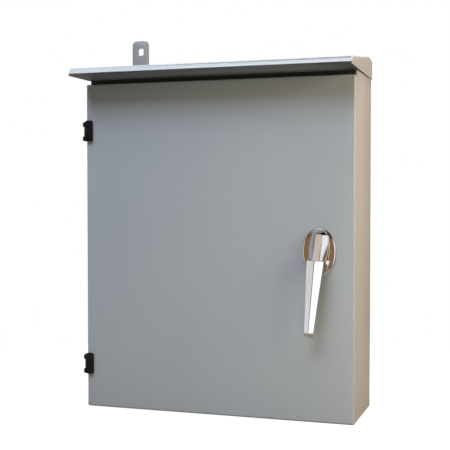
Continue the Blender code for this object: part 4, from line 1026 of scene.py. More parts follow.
def kept(node, look, r=0.0005, steps=2, smooth=32):
    """A node of the frame with its own shape, rounded edges and a finished material."""
    obj = frame["nodes"][node]
    obj.data.materials.clear()
    obj.data.materials.append(LOOKS[look])
    weld = obj.modifiers.new("weld", "WELD")
    weld.merge_threshold = 0.00001
    flat = obj.modifiers.new("flat_faces", "DECIMATE")
    flat.decimate_type = "DISSOLVE"
    flat.angle_limit = radians(0.5)
    edge = obj.modifiers.new("edges", "BEVEL")
    edge.width = r
    edge.segments = steps
    edge.limit_method = "ANGLE"
    edge.angle_limit = radians(30)
    edge.miter_outer = "MITER_ARC"
    shade = obj.modifiers.new("split", "EDGE_SPLIT")
    shade.split_angle = radians(smooth)
    obj.data.shade_smooth()


BASE_LOW, BASE_HIGH = LOW["switch_base"], HIGH["switch_base"]
POLE_X = [(LOW[f"normal_terminal_{i}"].x + HIGH[f"normal_terminal_{i}"].x) / 2 for i in (1, 2, 3)]
SHAFT = Vector(JOINT["transfer_turn"]["pos_m"])
SWING = radians(JOINT["transfer_turn"]["range_deg"][1] / 2)
Y_PLATE = LOW["sub_panel"].y + 0.010
Y_DEVICE = Y_PLATE - GAP


def swing(along, across=0.0):
    """Point at a distance from the shaft along the resting contact arm, in y and z."""
    return (SHAFT.y - along * cos(SWING) - across * sin(SWING),
            SHAFT.z + along * sin(SWING) - across * cos(SWING))


def sub_panel():
    """Zinc-plated mounting plate, folded forward at top and bottom, with rows of spare holes."""
    low, high = LOW["sub_panel"], HIGH["sub_panel"]
    back, t, r = high.y, high.y - Y_PLATE, 0.0035
    half = high.z
    outline = [(low.y, -half), (low.y, -half + 0.0022)]
    outline += arc((Y_PLATE - 0.0010, -half + 0.0032), 0.0010, 270, 360, 3)
    outline += arc((Y_PLATE - 0.0010, half - 0.0032), 0.0010, 0, 90, 3)
    outline += [(low.y, half - 0.0022), (low.y, half)]
    outline += arc((back - r, half - r), r, 90, 0, 5) + arc((back - r, -half + r), r, 0, -90, 5)
    plate = Form().prism("X", (low.x, high.x), outline, 0.0003, 1, 50)
    holes = [Form().turned("Y", spot, [(-0.03, 0.0048), (-0.01, 0.0048)], 20) for spot in STUDS]
    spare = [(x * 0.055, z) for x in (-3, -2, 2, 3) for z in (-0.160, -0.170, 0.258)]
    holes += [Form().turned("Y", spot, [(-0.03, 0.0021), (-0.01, 0.0021)], 12) for spot in spare]
    piece("mounting_plate", carved(plate, *holes), "plate", stands_for="sub_panel")


def switch():
    """Transfer switch: base, covers, terminals and their screws."""
    kept("switch_base", "red_moulding", 0.0008)
    for tag in ("upper", "lower"):
        kept(f"arc_cover_{tag}", "dark_moulding", 0.0006)
    for i in (1, 2, 3):
        for kind in ("normal", "emergency", "load"):
            kept(f"{kind}_terminal_{i}", "copper", 0.0006)
    front = Y_DEVICE - 0.018
    half = BASE_HIGH.z
    middle = (BASE_LOW.x + BASE_HIGH.x) / 2
    fasteners("switch_base_screws", SCREW_4, [ahead((middle + sx * 0.101, front, sz * (half - 0.009)))
                                             for sx in (-1, 1) for sz in (-1, 1)], "cabinet")
    ribs = Form()
    for x in POLE_X:
        for k in range(5):
            z = 0.040 + 0.014 * k
            ribs.block((x - 0.030, x + 0.030), (front + 0.0002, front - 0.0022), (z - 0.0012, z + 0.0012),
                       0.0005, 1)
        for sx in (-1, 1):
            ribs.block((x + sx * 0.031 - 0.001, x + sx * 0.031 + 0.001), (front + 0.0002, front - 0.0030),
                       (-half + 0.016, half - 0.016), 0.0004, 1)
    piece("switch_base_ribs", ribs, "red_moulding", "cabinet")
    spots = []
    for sign in (-1, 1):
        for x in POLE_X[:2]:
            for z in (0.034, 0.096):
                spots.append((x + 0.0375, LOW["arc_cover_upper"].y, sign * z))
        for sx in (-1, 1):
            for z in (0.034, 0.096):
                spots.append((middle + sx * 0.107, LOW["arc_cover_upper"].y, sign * z))
    fasteners("arc_cover_screws", SLOTTED_3, [ahead(spot) for spot in spots], "cabinet")
    lugs = []
    for i, x in enumerate(POLE_X, start=1):
        for sign, kind in ((1, "normal"), (-1, "emergency")):
            lugs.append(ahead((x, -0.0948, sign * 0.1030)))
        block = LOW[f"load_terminal_{i}"]
        lugs.append(ahead((x, block.y + 0.0012, block.z + 0.010)))
    fasteners("lug_screws", SOCKET_M8, lugs, "cabinet", "steel")
    chutes = Form()
    for x in POLE_X:
        for sign in (-1, 1):
            for k in range(6):
                z = sign * (0.034 + 0.0085 * k)
                chutes.block((x - 0.028, x + 0.028), (-0.1055, -0.1028), (z - 0.0007, z + 0.0007), 0.0002, 1)
    piece("arc_splitters", chutes, "steel", "cabinet")


def contact_arms():
    """Moulded carriers with copper fingers and silvered tips, and the shaft they turn with."""
    kept("transfer_shaft", "zinc", 0.0004)
    for i, x in enumerate(POLE_X, start=1):
        hub = Form().turned("X", (SHAFT.y, SHAFT.z),
                            [(x - 0.014, 0.0136), (x - 0.0134, 0.0145), (x + 0.0134, 0.0145),
                                                      (x + 0.014, 0.0136)], 40)
        bore = Form().turned("X", (SHAFT.y, SHAFT.z), [(x - 0.03, 0.0083), (x + 0.03, 0.0083)], 32)
        clamp = Form().prism("X", (x - 0.0125, x + 0.0125),
                             [swing(a, b) for a, b in ((0.006, -0.0080), (0.019, -0.0072), (0.021, -0.0054),
                                                       (0.021, 0.0054), (0.019, 0.0072), (0.006, 0.0080))],
                                                       0.0008)
        piece(f"arm_carrier_{i}", carved(united(hub, clamp), bore), "dark_moulding", "shaft")
        finger = Form().prism("X", (x - 0.0100, x + 0.0100),
                              [swing(a, b) for a, b in ((0.0150, -0.0040), (0.0365, -0.0040),
                                                        (0.0378, -0.0028),
                                                        (0.0378, 0.0028), (0.0365, 0.0040),
                                                        (0.0150, 0.0040))], 0.0005)
        piece(f"contact_finger_{i}", finger, "copper", stands_for=f"contact_arm_{i}")
        tips = Form()
        for side in (-1, 1):
            tips.prism("X", (x - 0.0070, x + 0.0070), [swing(a, side * b) for a, b in
                                                     ((0.0292, 0.0038), (0.0292, 0.0042), (0.0368, 0.0042),
                                                      (0.0368, 0.0038))])
        piece(f"contact_tips_{i}", tips, "tin", "shaft")
    collars = Form()
    for x in (BASE_LOW.x - 0.0022, BASE_HIGH.x + 0.0006):
        collars.turned("X", (SHAFT.y, SHAFT.z),
                       [(x, 0.0079), (x, 0.0108), (x + 0.0014, 0.0108), (x + 0.0014, 0.0079)], 32)
    piece("shaft_clips", collars, "steel", "shaft")
    low, high = LOW["manual_lever"], HIGH["manual_lever"]
    x = (low.x, high.x)
    hub = Form().turned("X", (SHAFT.y, SHAFT.z),
                        [(x[0], 0.0130), (x[0] + 0.0010, 0.0140), (x[1] - 0.0010, 0.0140),
                                                  (x[1], 0.0130)], 40)
    grip = Form().prism("X", x,
                        [swing(a, b) for a, b in ((0.004, -0.0075), (0.024, -0.0060), (0.046, -0.0052),
                                                          (0.050, -0.0030), (0.050, 0.0030), (0.046, 0.0052),
                                                          (0.024, 0.0060), (0.004, 0.0075))], 0.0012, 3)
    bore = Form().turned("X", (SHAFT.y, SHAFT.z), [(x[0] - 0.02, 0.0083), (x[1] + 0.02, 0.0083)], 32)
    grooves = []
    for k in range(6):
        for side in (-1, 1):
            point = swing(0.028 + 0.003 * k, side * 0.0070)
            grooves.append(Form().turned("X", point, [(x[0] - 0.01, 0.0017), (x[1] + 0.01, 0.0017)], 12))
    piece("hand_lever", carved(united(hub, grip), bore, *grooves), "red_moulding", stands_for="manual_lever")
    pin = Form().turned("X", (SHAFT.y, SHAFT.z),
                        [(x[0] - 0.0018, 0.0), (x[0] - 0.0018, 0.0052), (x[0] - 0.0012, 0.0060),
                                                  (x[0] - 0.0001, 0.0060)], 6)
    piece("lever_screw", pin, "steel", "shaft")


def aux_switch():
    """Sealed auxiliary switch with a roller on its spring leaf, blade terminals and two fixings."""
    kept("aux_switch", "dark_moulding", 0.0006)
    low, high = LOW["aux_switch"], HIGH["aux_switch"]
    middle = (low.x + high.x) / 2
    x = (low.x + 0.0015, low.x + 0.0070)
    leaf = Form().prism("X", x, [(-0.0358, 0.0376), (-0.0392, 0.0352), (-0.0560, 0.0178), (-0.0580, 0.0171),
                                 (-0.0580, 0.0164), (-0.0555, 0.0170), (-0.0386, 0.0346), (-0.0358, 0.0367)],
                                 0.0002, 1)
    leaf.turned("X", (-0.0580, 0.0167),
                [(x[0] - 0.0004, 0.0013), (x[0], 0.0017), (x[1], 0.0017), (x[1] + 0.0004, 0.0013)], 24)
    piece("aux_switch_leaf", leaf, "steel", "cabinet")
    blades = Form()
    for k in range(3):
        y = low.y + 0.0070 + 0.0070 * k
        blades.block((middle - 0.0024, middle + 0.0024), (y - 0.0004, y + 0.0004),
                     (high.z - 0.001, high.z + 0.0065), 0.0003, 1)
    piece("aux_switch_blades", blades, "brass", "cabinet")
    fasteners("aux_switch_screws", SCREW_3,
              [ahead((middle, low.y, z)) for z in (low.z + 0.0165, high.z - 0.0075)],
              "cabinet")


def solenoid():
    """Yoke, bobbin with its layered winding, tape and the plunger."""
    kept("solenoid_yoke", "plate", 0.0006)
    kept("solenoid_plunger", "tin", 0.0005)
    low, high = LOW["solenoid_coil"], HIGH["solenoid_coil"]
    centre = ((low.x + high.x) / 2, (low.y + high.y) / 2)
    bore, flange, r = 0.0082, 0.0230, 0.0200
    z0, z1 = low.z, high.z
    bobbin = Form().turned("Z", centre,
                           [(z0, bore), (z0, flange - 0.0008), (z0 + 0.0008, flange), (z0 + 0.0032, flange),
                                         (z0 + 0.0036, flange - 0.0006), (z0 + 0.0036, 0.0110),
                                         (z1 - 0.0036, 0.0110),
                                         (z1 - 0.0036, flange - 0.0006), (z1 - 0.0032, flange),
                                         (z1 - 0.0008, flange),
                                         (z1, flange - 0.0008), (z1, bore)], 48)
    well = Form().turned("Z", centre, [(z0 - 0.01, bore), (z1 + 0.01, bore)], 32)
    piece("coil_bobbin", carved(bobbin, well), "nylon", "cabinet")
    start, end, pitch = z0 + 0.0038, z1 - 0.0038, 0.0011
    turns = int((end - start) / pitch)
    profile = [(start, 0.0112)]
    for k in range(turns):
        z = start + pitch * k
        profile += [(z + pitch * 0.12, r - 0.0003), (z + pitch * 0.35, r), (z + pitch * 0.65, r),
                    (z + pitch * 0.88, r - 0.0003)]
    profile.append((end, 0.0112))
    piece("coil_winding", Form().turned("Z", centre, profile, 40), "winding", stands_for="solenoid_coil")
    middle = (z0 + z1) / 2
    tape = [(middle - 0.0140, r + 0.0002), (middle - 0.0138, r + 0.0006), (middle - 0.0010, r + 0.0006),
            (middle - 0.0009, r + 0.0009), (middle + 0.0138, r + 0.0009), (middle + 0.0140, r + 0.0002)]
    piece("coil_tape", Form().turned("Z", centre, tape, 48), "tape", "cabinet")
    yoke_low, yoke_high = LOW["solenoid_yoke"], HIGH["solenoid_yoke"]
    fasteners("yoke_screws", SCREW_3, [ahead((centre[0] + sx * 0.018, yoke_low.y, z)) for sx in (-1, 1)
                                      for z in (yoke_low.z + 0.010, yoke_high.z - 0.010)], "cabinet")


def din_rail():
    """Top-hat rail with its long slots."""
    low, high = LOW["din_rail"], HIGH["din_rail"]
    t, z, front = 0.0012, (low.z + high.z) / 2, low.y
    back = high.y
    outline = [(back, z - 0.0125), (back, z + 0.0125), (front + t, z + 0.0125), (front + t, z + 0.0175),
               (front, z + 0.0175), (front, z + 0.0125 - t), (back - t, z + 0.0125 - t),
               (back - t, z - 0.0125 + t),
               (front, z - 0.0125 + t), (front, z - 0.0175), (front + t, z - 0.0175), (front + t, z - 0.0125)]
    rail = Form().prism("X", (low.x, high.x), outline, 0.0004, 2)
    count = int((high.x - low.x - 0.02) / 0.025)
    slots = []
    for k in range(count):
        x = low.x + 0.018 + 0.025 * k
        slots.append(Form().prism("Y", (back - 0.004, back + 0.002),
                                  rounded((x - 0.0085, x + 0.0085), (z - 0.0027, z + 0.0027), 0.0026)))
    piece("mounting_rail", carved(rail, *slots), "zinc", stands_for="din_rail")
    fasteners("rail_screws", SCREW_3, [ahead((x, back - t, z)) for x in (low.x + 0.0055, high.x - 0.0055)],
              "cabinet")


def controller():
    """Transfer controller: vented case, bezel with display, lamps, buttons and a plug-in terminal row."""
    low, high = LOW["controller_case"], HIGH["controller_case"]
    x, y, z = (low.x, high.x), (low.y, high.y), (low.z, high.z)
    front = y[0]
    case = Form().loft([[(a, yy, b) for a,
                         b in rounded((x[0] + inset, x[1] - inset), (z[0] + inset, z[1] - inset), 0.003)]
                        for yy, inset in ((y[1], 0.0), (front + 0.016, 0.0), (front + 0.0145, 0.0012),
                                          (front + 0.0030, 0.0012),
                                          (front + 0.0008, 0.0018), (front, 0.0030))])
    window = Form().prism("Y", (front - 0.01, front + 0.002), rounded((x[0] + 0.018, x[0] + 0.088),
                                                                      (z[0] + 0.055, z[1] - 0.018), 0.003))
    wells, buttons = [], []
    for k in (1, 2):
        a, b = LOW[f"controller_button_{k}"], HIGH[f"controller_button_{k}"]
        centre = ((a.x + b.x) / 2, (a.z + b.z) / 2)
        buttons.append((k, centre, a.y, b.y))
        wells.append(Form().turned("Y", centre, [(front - 0.01, 0.0066), (front + 0.006, 0.0066)], 32))
    vents = []
    for k in range(9):
        vents.append(Form().block((x[0] + 0.020 + 0.010 * k, x[0] + 0.026 + 0.010 * k),
                                  (y[1] - 0.044, y[1] - 0.012),
                                  (z[1] - 0.0012, z[1] + 0.01)))
    piece("controller_housing", carved(case, window, *wells, *vents), "grey_moulding",
          stands_for="controller_case")
    panel = Form().prism("Y", (front + 0.0012, front + 0.0021), rounded((x[0] + 0.0185, x[0] + 0.0875),
                                                                       (z[0] + 0.0555, z[1] - 0.0185),
                                                                       0.0028), 0.0002, 1, 50)
    piece("controller_display", panel, "display", "cabinet")
    bezel_out = Form().prism("Y", (front - 0.0012, front + 0.0004), rounded((x[0] + 0.0150, x[0] + 0.0910),
                                                                           (z[0] + 0.0520, z[1] - 0.0150),
                                                                           0.005), 0.0005, 2, 50)
    bezel_in = Form().prism("Y", (front - 0.01, front + 0.01), rounded((x[0] + 0.0190, x[0] + 0.0870),
                                                                     (z[0] + 0.0560, z[1] - 0.0190), 0.003))
    piece("display_bezel", carved(bezel_out, bezel_in), "dark_moulding", "cabinet")
    for k, centre, near, far in buttons:
        cap = Form().turned("Y", centre,
                            [(near, 0.0), (near + 0.0001, 0.0030), (near + 0.0006, 0.0050),
                             (near + 0.0016, 0.0059),
                                          (near + 0.0024, 0.0060), (far, 0.0060)], 40)
        piece(f"push_button_{k}", cap, ("green_moulding", "red_moulding")[k - 1],
              stands_for=f"controller_button_{k}")
        ring = Form().turned("Y", centre,
                             [(front - 0.0008, 0.0068), (front - 0.0010, 0.0076), (front - 0.0004, 0.0086),
                                           (front + 0.0003, 0.0088), (front + 0.0003, 0.0068)], 40)
        hole = Form().turned("Y", centre, [(front - 0.01, 0.0067), (front + 0.01, 0.0067)], 40)
        piece(f"button_ring_{k}", carved(ring, hole), "dark_moulding", "cabinet")
    for k, look in enumerate(("lamp_green", "lamp_red", "lamp_green")):
        centre = (x[1] - 0.022, z[0] + 0.064 + 0.013 * k)
        lens = Form().turned("Y", centre,
                             [(front - 0.0022, 0.0), (front - 0.0020, 0.0012), (front - 0.0010, 0.0022),
                                           (front + 0.0002, 0.0025)], 24)
        piece(f"status_lamp_{k + 1}", lens, look, "cabinet")
    row = Form()
    spots = []
    for k in range(10):
        a = x[0] + 0.018 + 0.0098 * k
        row.block((a - 0.0047, a + 0.0047), (front + 0.0060, front + 0.0180), (z[0] - 0.0060, z[0] + 0.0006),
                  0.0005, 1)
        spots.append(ahead((a, front + 0.0061, z[0] - 0.0028)))
    piece("controller_plug", row, "green_moulding", "cabinet")
    fasteners("controller_plug_screws", SLOTTED_2, spots, "cabinet", "steel")
    fasteners("controller_screws", SCREW_3, [ahead((a, front, b)) for a, b in
                                            ((x[0] + 0.008, z[1] - 0.008), (x[1] - 0.008, z[1] - 0.008),
                                             (x[0] + 0.008, z[0] + 0.010), (x[1] - 0.008, z[0] + 0.010))],
                                             "cabinet")


def stepped_case(node, shoulder, half_face, r=0.0010):
    """A rail-mounted case whose face stands proud of its shoulders, as a form."""
    low, high = LOW[node], HIGH[node]
    z, half = (low.z + high.z) / 2, (high.z - low.z) / 2
    front, back = low.y, high.y
    outline = [(back, z - half), (back, z + half), (front + shoulder, z + half),
               (front + shoulder, z + half_face * 1.08),
               (front, z + half_face), (front, z - half_face), (front + shoulder, z - half_face * 1.08),
               (front + shoulder, z - half)]
    return Form().prism("X", (low.x, high.x), outline, r, 3)


def breaker():
    """Two-pole circuit breaker with screw wells, wire mouths, a pole seam and its toggle."""
    low, high = LOW["control_breaker"], HIGH["control_breaker"]
    z, half, shoulder = (low.z + high.z) / 2, (high.z - low.z) / 2, 0.018
    toggle_low, toggle_high = LOW["breaker_toggle"], HIGH["breaker_toggle"]
    pivot = Vector(JOINT["toggle_turn"]["pos_m"])
    middle = (low.x + high.x) / 2
    cuts = [Form().turned("X", (pivot.y, pivot.z), [(middle - 0.0125, 0.0100), (middle + 0.0125, 0.0100)],
                          40)]
    cuts.append(Form().block((middle - 0.00025, middle + 0.00025), (low.y - 0.01, low.y + 0.0006),
                             (z - 0.05, z - 0.0112)))
    cuts.append(Form().block((middle - 0.00025, middle + 0.00025), (low.y - 0.01, low.y + 0.0006),
                             (z + 0.0112, z + 0.05)))
    screws = []
    for sx in (-1, 1):
        x = middle + sx * 0.0090
        for sz in (-1, 1):
            spot = z + sz * (half - 0.0075)
            cuts.append(Form().turned("Y", (x, spot),
                                      [(low.y - 0.01, 0.0042), (low.y + shoulder + 0.006, 0.0042)], 20))
            cuts.append(Form().block((x - 0.0045, x + 0.0045),
                                     (low.y + shoulder + 0.010, low.y + shoulder + 0.019),
                                     (spot, spot + sz * 0.02)))
            screws.append(ahead((x, low.y + shoulder + 0.0058, spot)))
    piece("breaker_case", carved(stepped_case("control_breaker", shoulder, half * 0.50), *cuts),
          "white_moulding",
          stands_for="control_breaker")
    fasteners("breaker_screws", SCREW_3, screws, "cabinet")
    barrel = Form().turned("X", (pivot.y, pivot.z), [(toggle_low.x, 0.0090), (toggle_low.x + 0.0004, 0.0094),
                                                     (toggle_high.x - 0.0004, 0.0094),
                                                     (toggle_high.x, 0.0090)], 40)
    tilt = radians(JOINT["toggle_turn"]["range_deg"][1] / 2)
    def tip(a, b):
        return (pivot.y - a * cos(tilt) - b * sin(tilt), pivot.z + a * sin(tilt) - b * cos(tilt))
    grip = Form().prism("X", (toggle_low.x + 0.001, toggle_high.x - 0.001),
                        [tip(a, b) for a, b in ((0.004, -0.0035), (0.012, -0.0024), (0.0175, -0.0022),
                                                (0.0188, -0.0010),
                                                (0.0188, 0.0010), (0.0175, 0.0022), (0.012, 0.0024),
                                                (0.004, 0.0035))],
                        0.0005, 2)
    piece("toggle_grip", united(barrel, grip), "dark_moulding", stands_for="breaker_toggle")


def relay():
    """Plug-in relay on its socket, with a retaining clip and socket screws."""
    low, high = LOW["control_relay"], HIGH["control_relay"]
    z, half = (low.z + high.z) / 2, (high.z - low.z) / 2
    piece("relay_body", stepped_case("control_relay", 0.024, half * 0.50, 0.0012), "dark_moulding",
          stands_for="control_relay")
    middle = (low.x + high.x) / 2
    window = Form().prism("Y", (low.y - 0.0003, low.y + 0.0004), rounded((middle - 0.011, middle + 0.011),
                                                                       (z - 0.011, z + 0.011), 0.0015),
                                                                       0.0002, 1, 50)
    piece("relay_label", window, "white_moulding", "cabinet")
    clip = Form()
    route = [(low.x - 0.0008, low.y + 0.024, z), (low.x - 0.0010, low.y + 0.006, z),
             (low.x + 0.002, low.y - 0.0004, z),
             (middle, low.y - 0.0010, z), (high.x - 0.002, low.y - 0.0004, z),
             (high.x + 0.0010, low.y + 0.006, z),
             (high.x + 0.0008, low.y + 0.024, z)]
    piece("relay_clip", clip.tube(smooth_route(route, 0.002), 0.0006, 8), "steel", "cabinet")
    spots = [ahead((middle + sx * 0.0095, low.y + 0.024, z + sz * (half - 0.006))) for sx in (-1, 0, 1)
             for sz in (-1, 1)]
    fasteners("relay_screws", SLOTTED_3, spots, "cabinet")


def terminal_strip():
    """Row of terminal blocks with screws, wire mouths, marker bars and two end clamps."""
    low, high = LOW["terminal_strip"], HIGH["terminal_strip"]
    z, half, shoulder = (low.z + high.z) / 2, (high.z - low.z) / 2, 0.016
    pitch = 0.012
    first = low.x + 0.006
    blocks, cuts, marks, screws = Form(), [], Form(), []
    for k in range(13):
        x0 = first + pitch * k if k else low.x
        x1 = high.x if k == 12 else first + pitch * (k + 1) - 0.0004
        shrink = 0.0006 if k in (0, 12) else 0.0
        outline = [(high.y, z - half + shrink), (high.y, z + half - shrink),
                   (low.y + shoulder, z + half - shrink),
                   (low.y + shoulder, z + half * 0.58), (low.y + shrink, z + half * 0.50),
                   (low.y + shrink, z - half * 0.50),
                   (low.y + shoulder, z - half * 0.58), (low.y + shoulder, z - half + shrink)]
        blocks.prism("X", (x0, x1), outline, 0.0006, 2)
        x = (x0 + x1) / 2
        for sz in (-1, 1):
            if 0 < k < 12:
                cuts.append(Form().turned("Y", (x, z + sz * half * 0.80),
                                          [(low.y, 0.0034), (low.y + shoulder + 0.004, 0.0034)], 16))
                cuts.append(Form().block((x - 0.0035, x + 0.0035),
                                         (low.y + shoulder + 0.0060, low.y + shoulder + 0.0150),
                                         (z + sz * (half - 0.006), z + sz * (half + 0.01))))
                screws.append(ahead((x, low.y + shoulder + 0.0036, z + sz * half * 0.80)))
        if 0 < k < 12:
            marks.block((x - 0.0040, x + 0.0040), (low.y - 0.0003, low.y + 0.0006), (z - 0.0040, z + 0.0040),
                        0.0003, 1)
    piece("terminal_blocks", carved(blocks, *cuts), "grey_moulding", stands_for="terminal_strip")
    piece("terminal_markers", marks, "white_moulding", "cabinet")
    fasteners("terminal_screws", SLOTTED_3, screws, "cabinet")


def bars():
    """Neutral and earth bars with their screws and fixings."""
    for node, look, count in (("neutral_bar", "brass", 8), ("ground_bar", "tin", 10)):
        kept(node, look, 0.0006)
        low, high = LOW[node], HIGH[node]
        step = (high.x - low.x) / (count + 1)
        z = (low.z + high.z) / 2
        fasteners(f"{node}_screws", SLOTTED_3, [ahead((low.x + step * (i + 1), low.y + 0.0004, z))
                                               for i in range(count)], "cabinet", "steel")
        fasteners(f"{node}_fixings", SCREW_3, [ahead((x, low.y, z)) for x in (low.x + 0.005, high.x - 0.005)],
                  "cabinet")


def transformer():
    """Control transformer: laminated core, taped winding and end frame."""
    low, high = LOW["control_transformer"], HIGH["control_transformer"]
    x0, x1 = low.x + 0.006, high.x - 0.006
    core = Form().block((x0, x1), (Y_DEVICE - 0.004, Y_DEVICE - 0.050), (low.z + 0.006, high.z - 0.006),
                        0.0006, 2)
    piece("transformer_core", core, "laminations", stands_for="control_transformer")
    coil = Form().loft([[(a, y, b) for a,
                         b in rounded((x0 + 0.018 + inset, x1 - 0.018 - inset),
                                      (low.z + inset, high.z - inset), 0.006)]
                        for y, inset in ((Y_DEVICE - 0.008, 0.001), (Y_DEVICE - 0.011, 0.0),
                                         (low.y + 0.004, 0.0),
                                         (low.y + 0.001, 0.0012), (low.y, 0.0035))])
    piece("transformer_coil", coil, "tape", "cabinet")
    foot = Form().prism("Y", (Y_DEVICE, Y_DEVICE - 0.0040),
                        rounded((low.x, high.x), (low.z + 0.012, high.z - 0.012), 0.004), 0.0004, 1, 50)
    piece("transformer_foot", foot, "zinc", "cabinet")
    z = (low.z + high.z) / 2
    fasteners("transformer_nuts", NUT_M4, [ahead((x, Y_DEVICE - 0.0500, b)) for x in (x0 + 0.006, x1 - 0.006)
                                          for b in (low.z + 0.013, high.z - 0.013)], "cabinet")
    fasteners("transformer_screws", SCREW_3,
              [ahead((x, Y_DEVICE - 0.0040, z)) for x in (low.x + 0.0031, high.x - 0.0031)], "cabinet")


def harness():
    """Sleeved bundle to the coil with cable ties."""
    route = ((0.1420, -0.0520, 0.1725), (0.1420, -0.0525, 0.1600), (0.1460, -0.0480, 0.1480),
             (0.1600, -0.0400, 0.1380), (0.1740, -0.0340, 0.1240), (0.1780, -0.0310, 0.0900),
             (0.1780, -0.0310, 0.0400), (0.1780, -0.0310, -0.0200), (0.1770, -0.0330, -0.0550),
             (0.1700, -0.0420, -0.0760), (0.1585, -0.0520, -0.0830), (0.1470, -0.0560, -0.0835))
    points = smooth_route(route, 0.0030)
    piece("harness_sleeve", Form().tube(points, 0.0040, 24), "cable", stands_for="control_harness")
    ties = Form()
    for share in (0.14, 0.34, 0.52, 0.70, 0.88):
        i = int(share * (len(points) - 1))
        along = (points[i + 1] - points[i - 1]).normalized()
        side = along.orthogonal().normalized()
        up = along.cross(side)
        ring = [points[i] + 0.0046 * (cos(2 * pi * k / 28) * side + sin(2 * pi * k / 28) * up)
                for k in range(29)]
        ties.loft([[p + along * a + (p - points[i]).normalized() * b for a, b in
                    ((-0.0018, -0.0005), (0.0018, -0.0005), (0.0018, 0.0005), (-0.0018, 0.0005))]
                    for p in ring])
        head = points[i] + side * 0.0062
        ties.matrix = Matrix.Translation(head) @ Matrix((along, up, side)).transposed().to_4x4()
        ties.block((-0.0026, 0.0026), (-0.0022, 0.0022), (-0.0016, 0.0020), 0.0005, 1)
        ties.matrix = Matrix.Identity(4)
    piece("cable_ties", ties, "nylon", "cabinet")


enclosure()
enclosure_details()
rain_hood()
rain_seal()
hanging_tab()
gland_plate()
door()
document_pocket()
for hinge_tag in ("upper", "lower"):
    hinge(hinge_tag)
escutcheon()
handle()
latch_rod("upper", 1)
latch_rod("lower", -1)
sub_panel()
switch()
contact_arms()
aux_switch()
solenoid()
din_rail()
controller()
breaker()
relay()
terminal_strip()
bars()
transformer()
harness()

# Stage ------------------------------------------------------------------------------------------


FLOOR_R = 0.9                     # radius of the pale floor, metres
FILL = 0.014                      # brightness of the surroundings as plain light
CAMERA_AT = (0.5399, -1.7468, 0.0840)
CAMERA_LENS = 75.66               # millimetres, on a sensor 36 wide
CAMERA_DOWN, CAMERA_TURN = 1.692, 18.18     # degrees below level, and round to the left


def studio():
    """Soft warm and cool surroundings for reflections, and a pale backdrop for the camera."""
    world = bpy.data.worlds.new("studio")
    bpy.context.scene.world = world
    world.use_nodes = True
    tree = world.node_tree
    tree.nodes.clear()
    def node(kind, **values):
        made = tree.nodes.new(kind)
        for key, value in values.items():
            setattr(made, key, value)
        return made
    direction = node("ShaderNodeTexCoord").outputs["Generated"]
    total = None
    lobes = (
        # towards, where it fades in from and is full, in degrees off that way, and its colour
        ((0.0, 0.0, -1.0), (95, 60), (0.050, 0.042, 0.034)),
        ((-0.2, 0.1, 1.0), (38, 16), (2.00, 2.05, 2.10)),
        ((-1.0, 0.10, 0.12), (45, 20), (0.15, 0.14, 0.20)),
        ((-0.87, -0.49, -0.07), (24, 11), (0.72, 0.72, 0.72)),
        ((0.55, -0.83, -0.07), (24, 13), (1.30, 1.30, 1.32)),
        ((0.90, -0.28, 0.26), (20, 11), (0.95, 0.96, 1.00)),
        ((-0.23, -0.82, 0.52), (26, 15), (0.66, 0.57, 0.50)),
        ((1.0, 0.9, 0.15), (55, 20), (0.50, 0.33, 0.20)),
        ((-0.23, -0.97, -0.08), (24, 12), (0.26, 0.145, 0.06)),
    )
    for towards, (outer, inner), colour in lobes:
        dot = node("ShaderNodeVectorMath", operation="DOT_PRODUCT")
        tree.links.new(direction, dot.inputs[0])
        dot.inputs[1].default_value = Vector(towards).normalized()
        share = node("ShaderNodeMapRange", interpolation_type="SMOOTHSTEP")
        tree.links.new(dot.outputs["Value"], share.inputs["Value"])
        share.inputs["From Min"].default_value = cos(radians(outer))
        share.inputs["From Max"].default_value = cos(radians(inner))
        scaled = node("ShaderNodeVectorMath", operation="SCALE")
        scaled.inputs[0].default_value = colour
        tree.links.new(share.outputs["Result"], scaled.inputs["Scale"])
        if total is None:
            total = scaled.outputs[0]
        else:
            add = node("ShaderNodeVectorMath", operation="ADD")
            tree.links.new(total, add.inputs[0])
            tree.links.new(scaled.outputs[0], add.inputs[1])
            total = add.outputs[0]
    around = node("ShaderNodeBackground")
    tree.links.new(total, around.inputs["Color"])
    around.inputs["Strength"].default_value = 1.0
    path = node("ShaderNodeLightPath")
    shader = around.outputs[0]
    for kind, value in (("Is Diffuse Ray", FILL), ("Is Camera Ray", 1.0)):
        plain, mix = node("ShaderNodeBackground"), node("ShaderNodeMixShader")
        plain.inputs["Color"].default_value = (value, value, value, 1.0)
        tree.links.new(path.outputs[kind], mix.inputs[0])
        tree.links.new(shader, mix.inputs[1])
        tree.links.new(plain.outputs[0], mix.inputs[2])
        shader = mix.outputs[0]
    tree.links.new(shader, node("ShaderNodeOutputWorld").inputs[0])


def lamp(name, towards, distance, size, power, colour, aim=(0.0, -0.1, 0.0)):
    """Soft area light in a direction from the point that it is aimed at."""
    data = bpy.data.lights.new(name, "AREA")
    data.shape = "RECTANGLE"
    data.size, data.size_y = size
    data.energy = power
    data.color = colour
    obj = bpy.data.objects.new(name, data)
    bpy.context.scene.collection.objects.link(obj)
    back = Vector(towards).normalized()
    obj.location = Vector(aim) + back * distance
    obj.rotation_mode = "QUATERNION"
    obj.rotation_quaternion = (-back).to_track_quat("-Z", "Y")
    obj.visible_camera = False
    obj.visible_glossy = False
    return obj


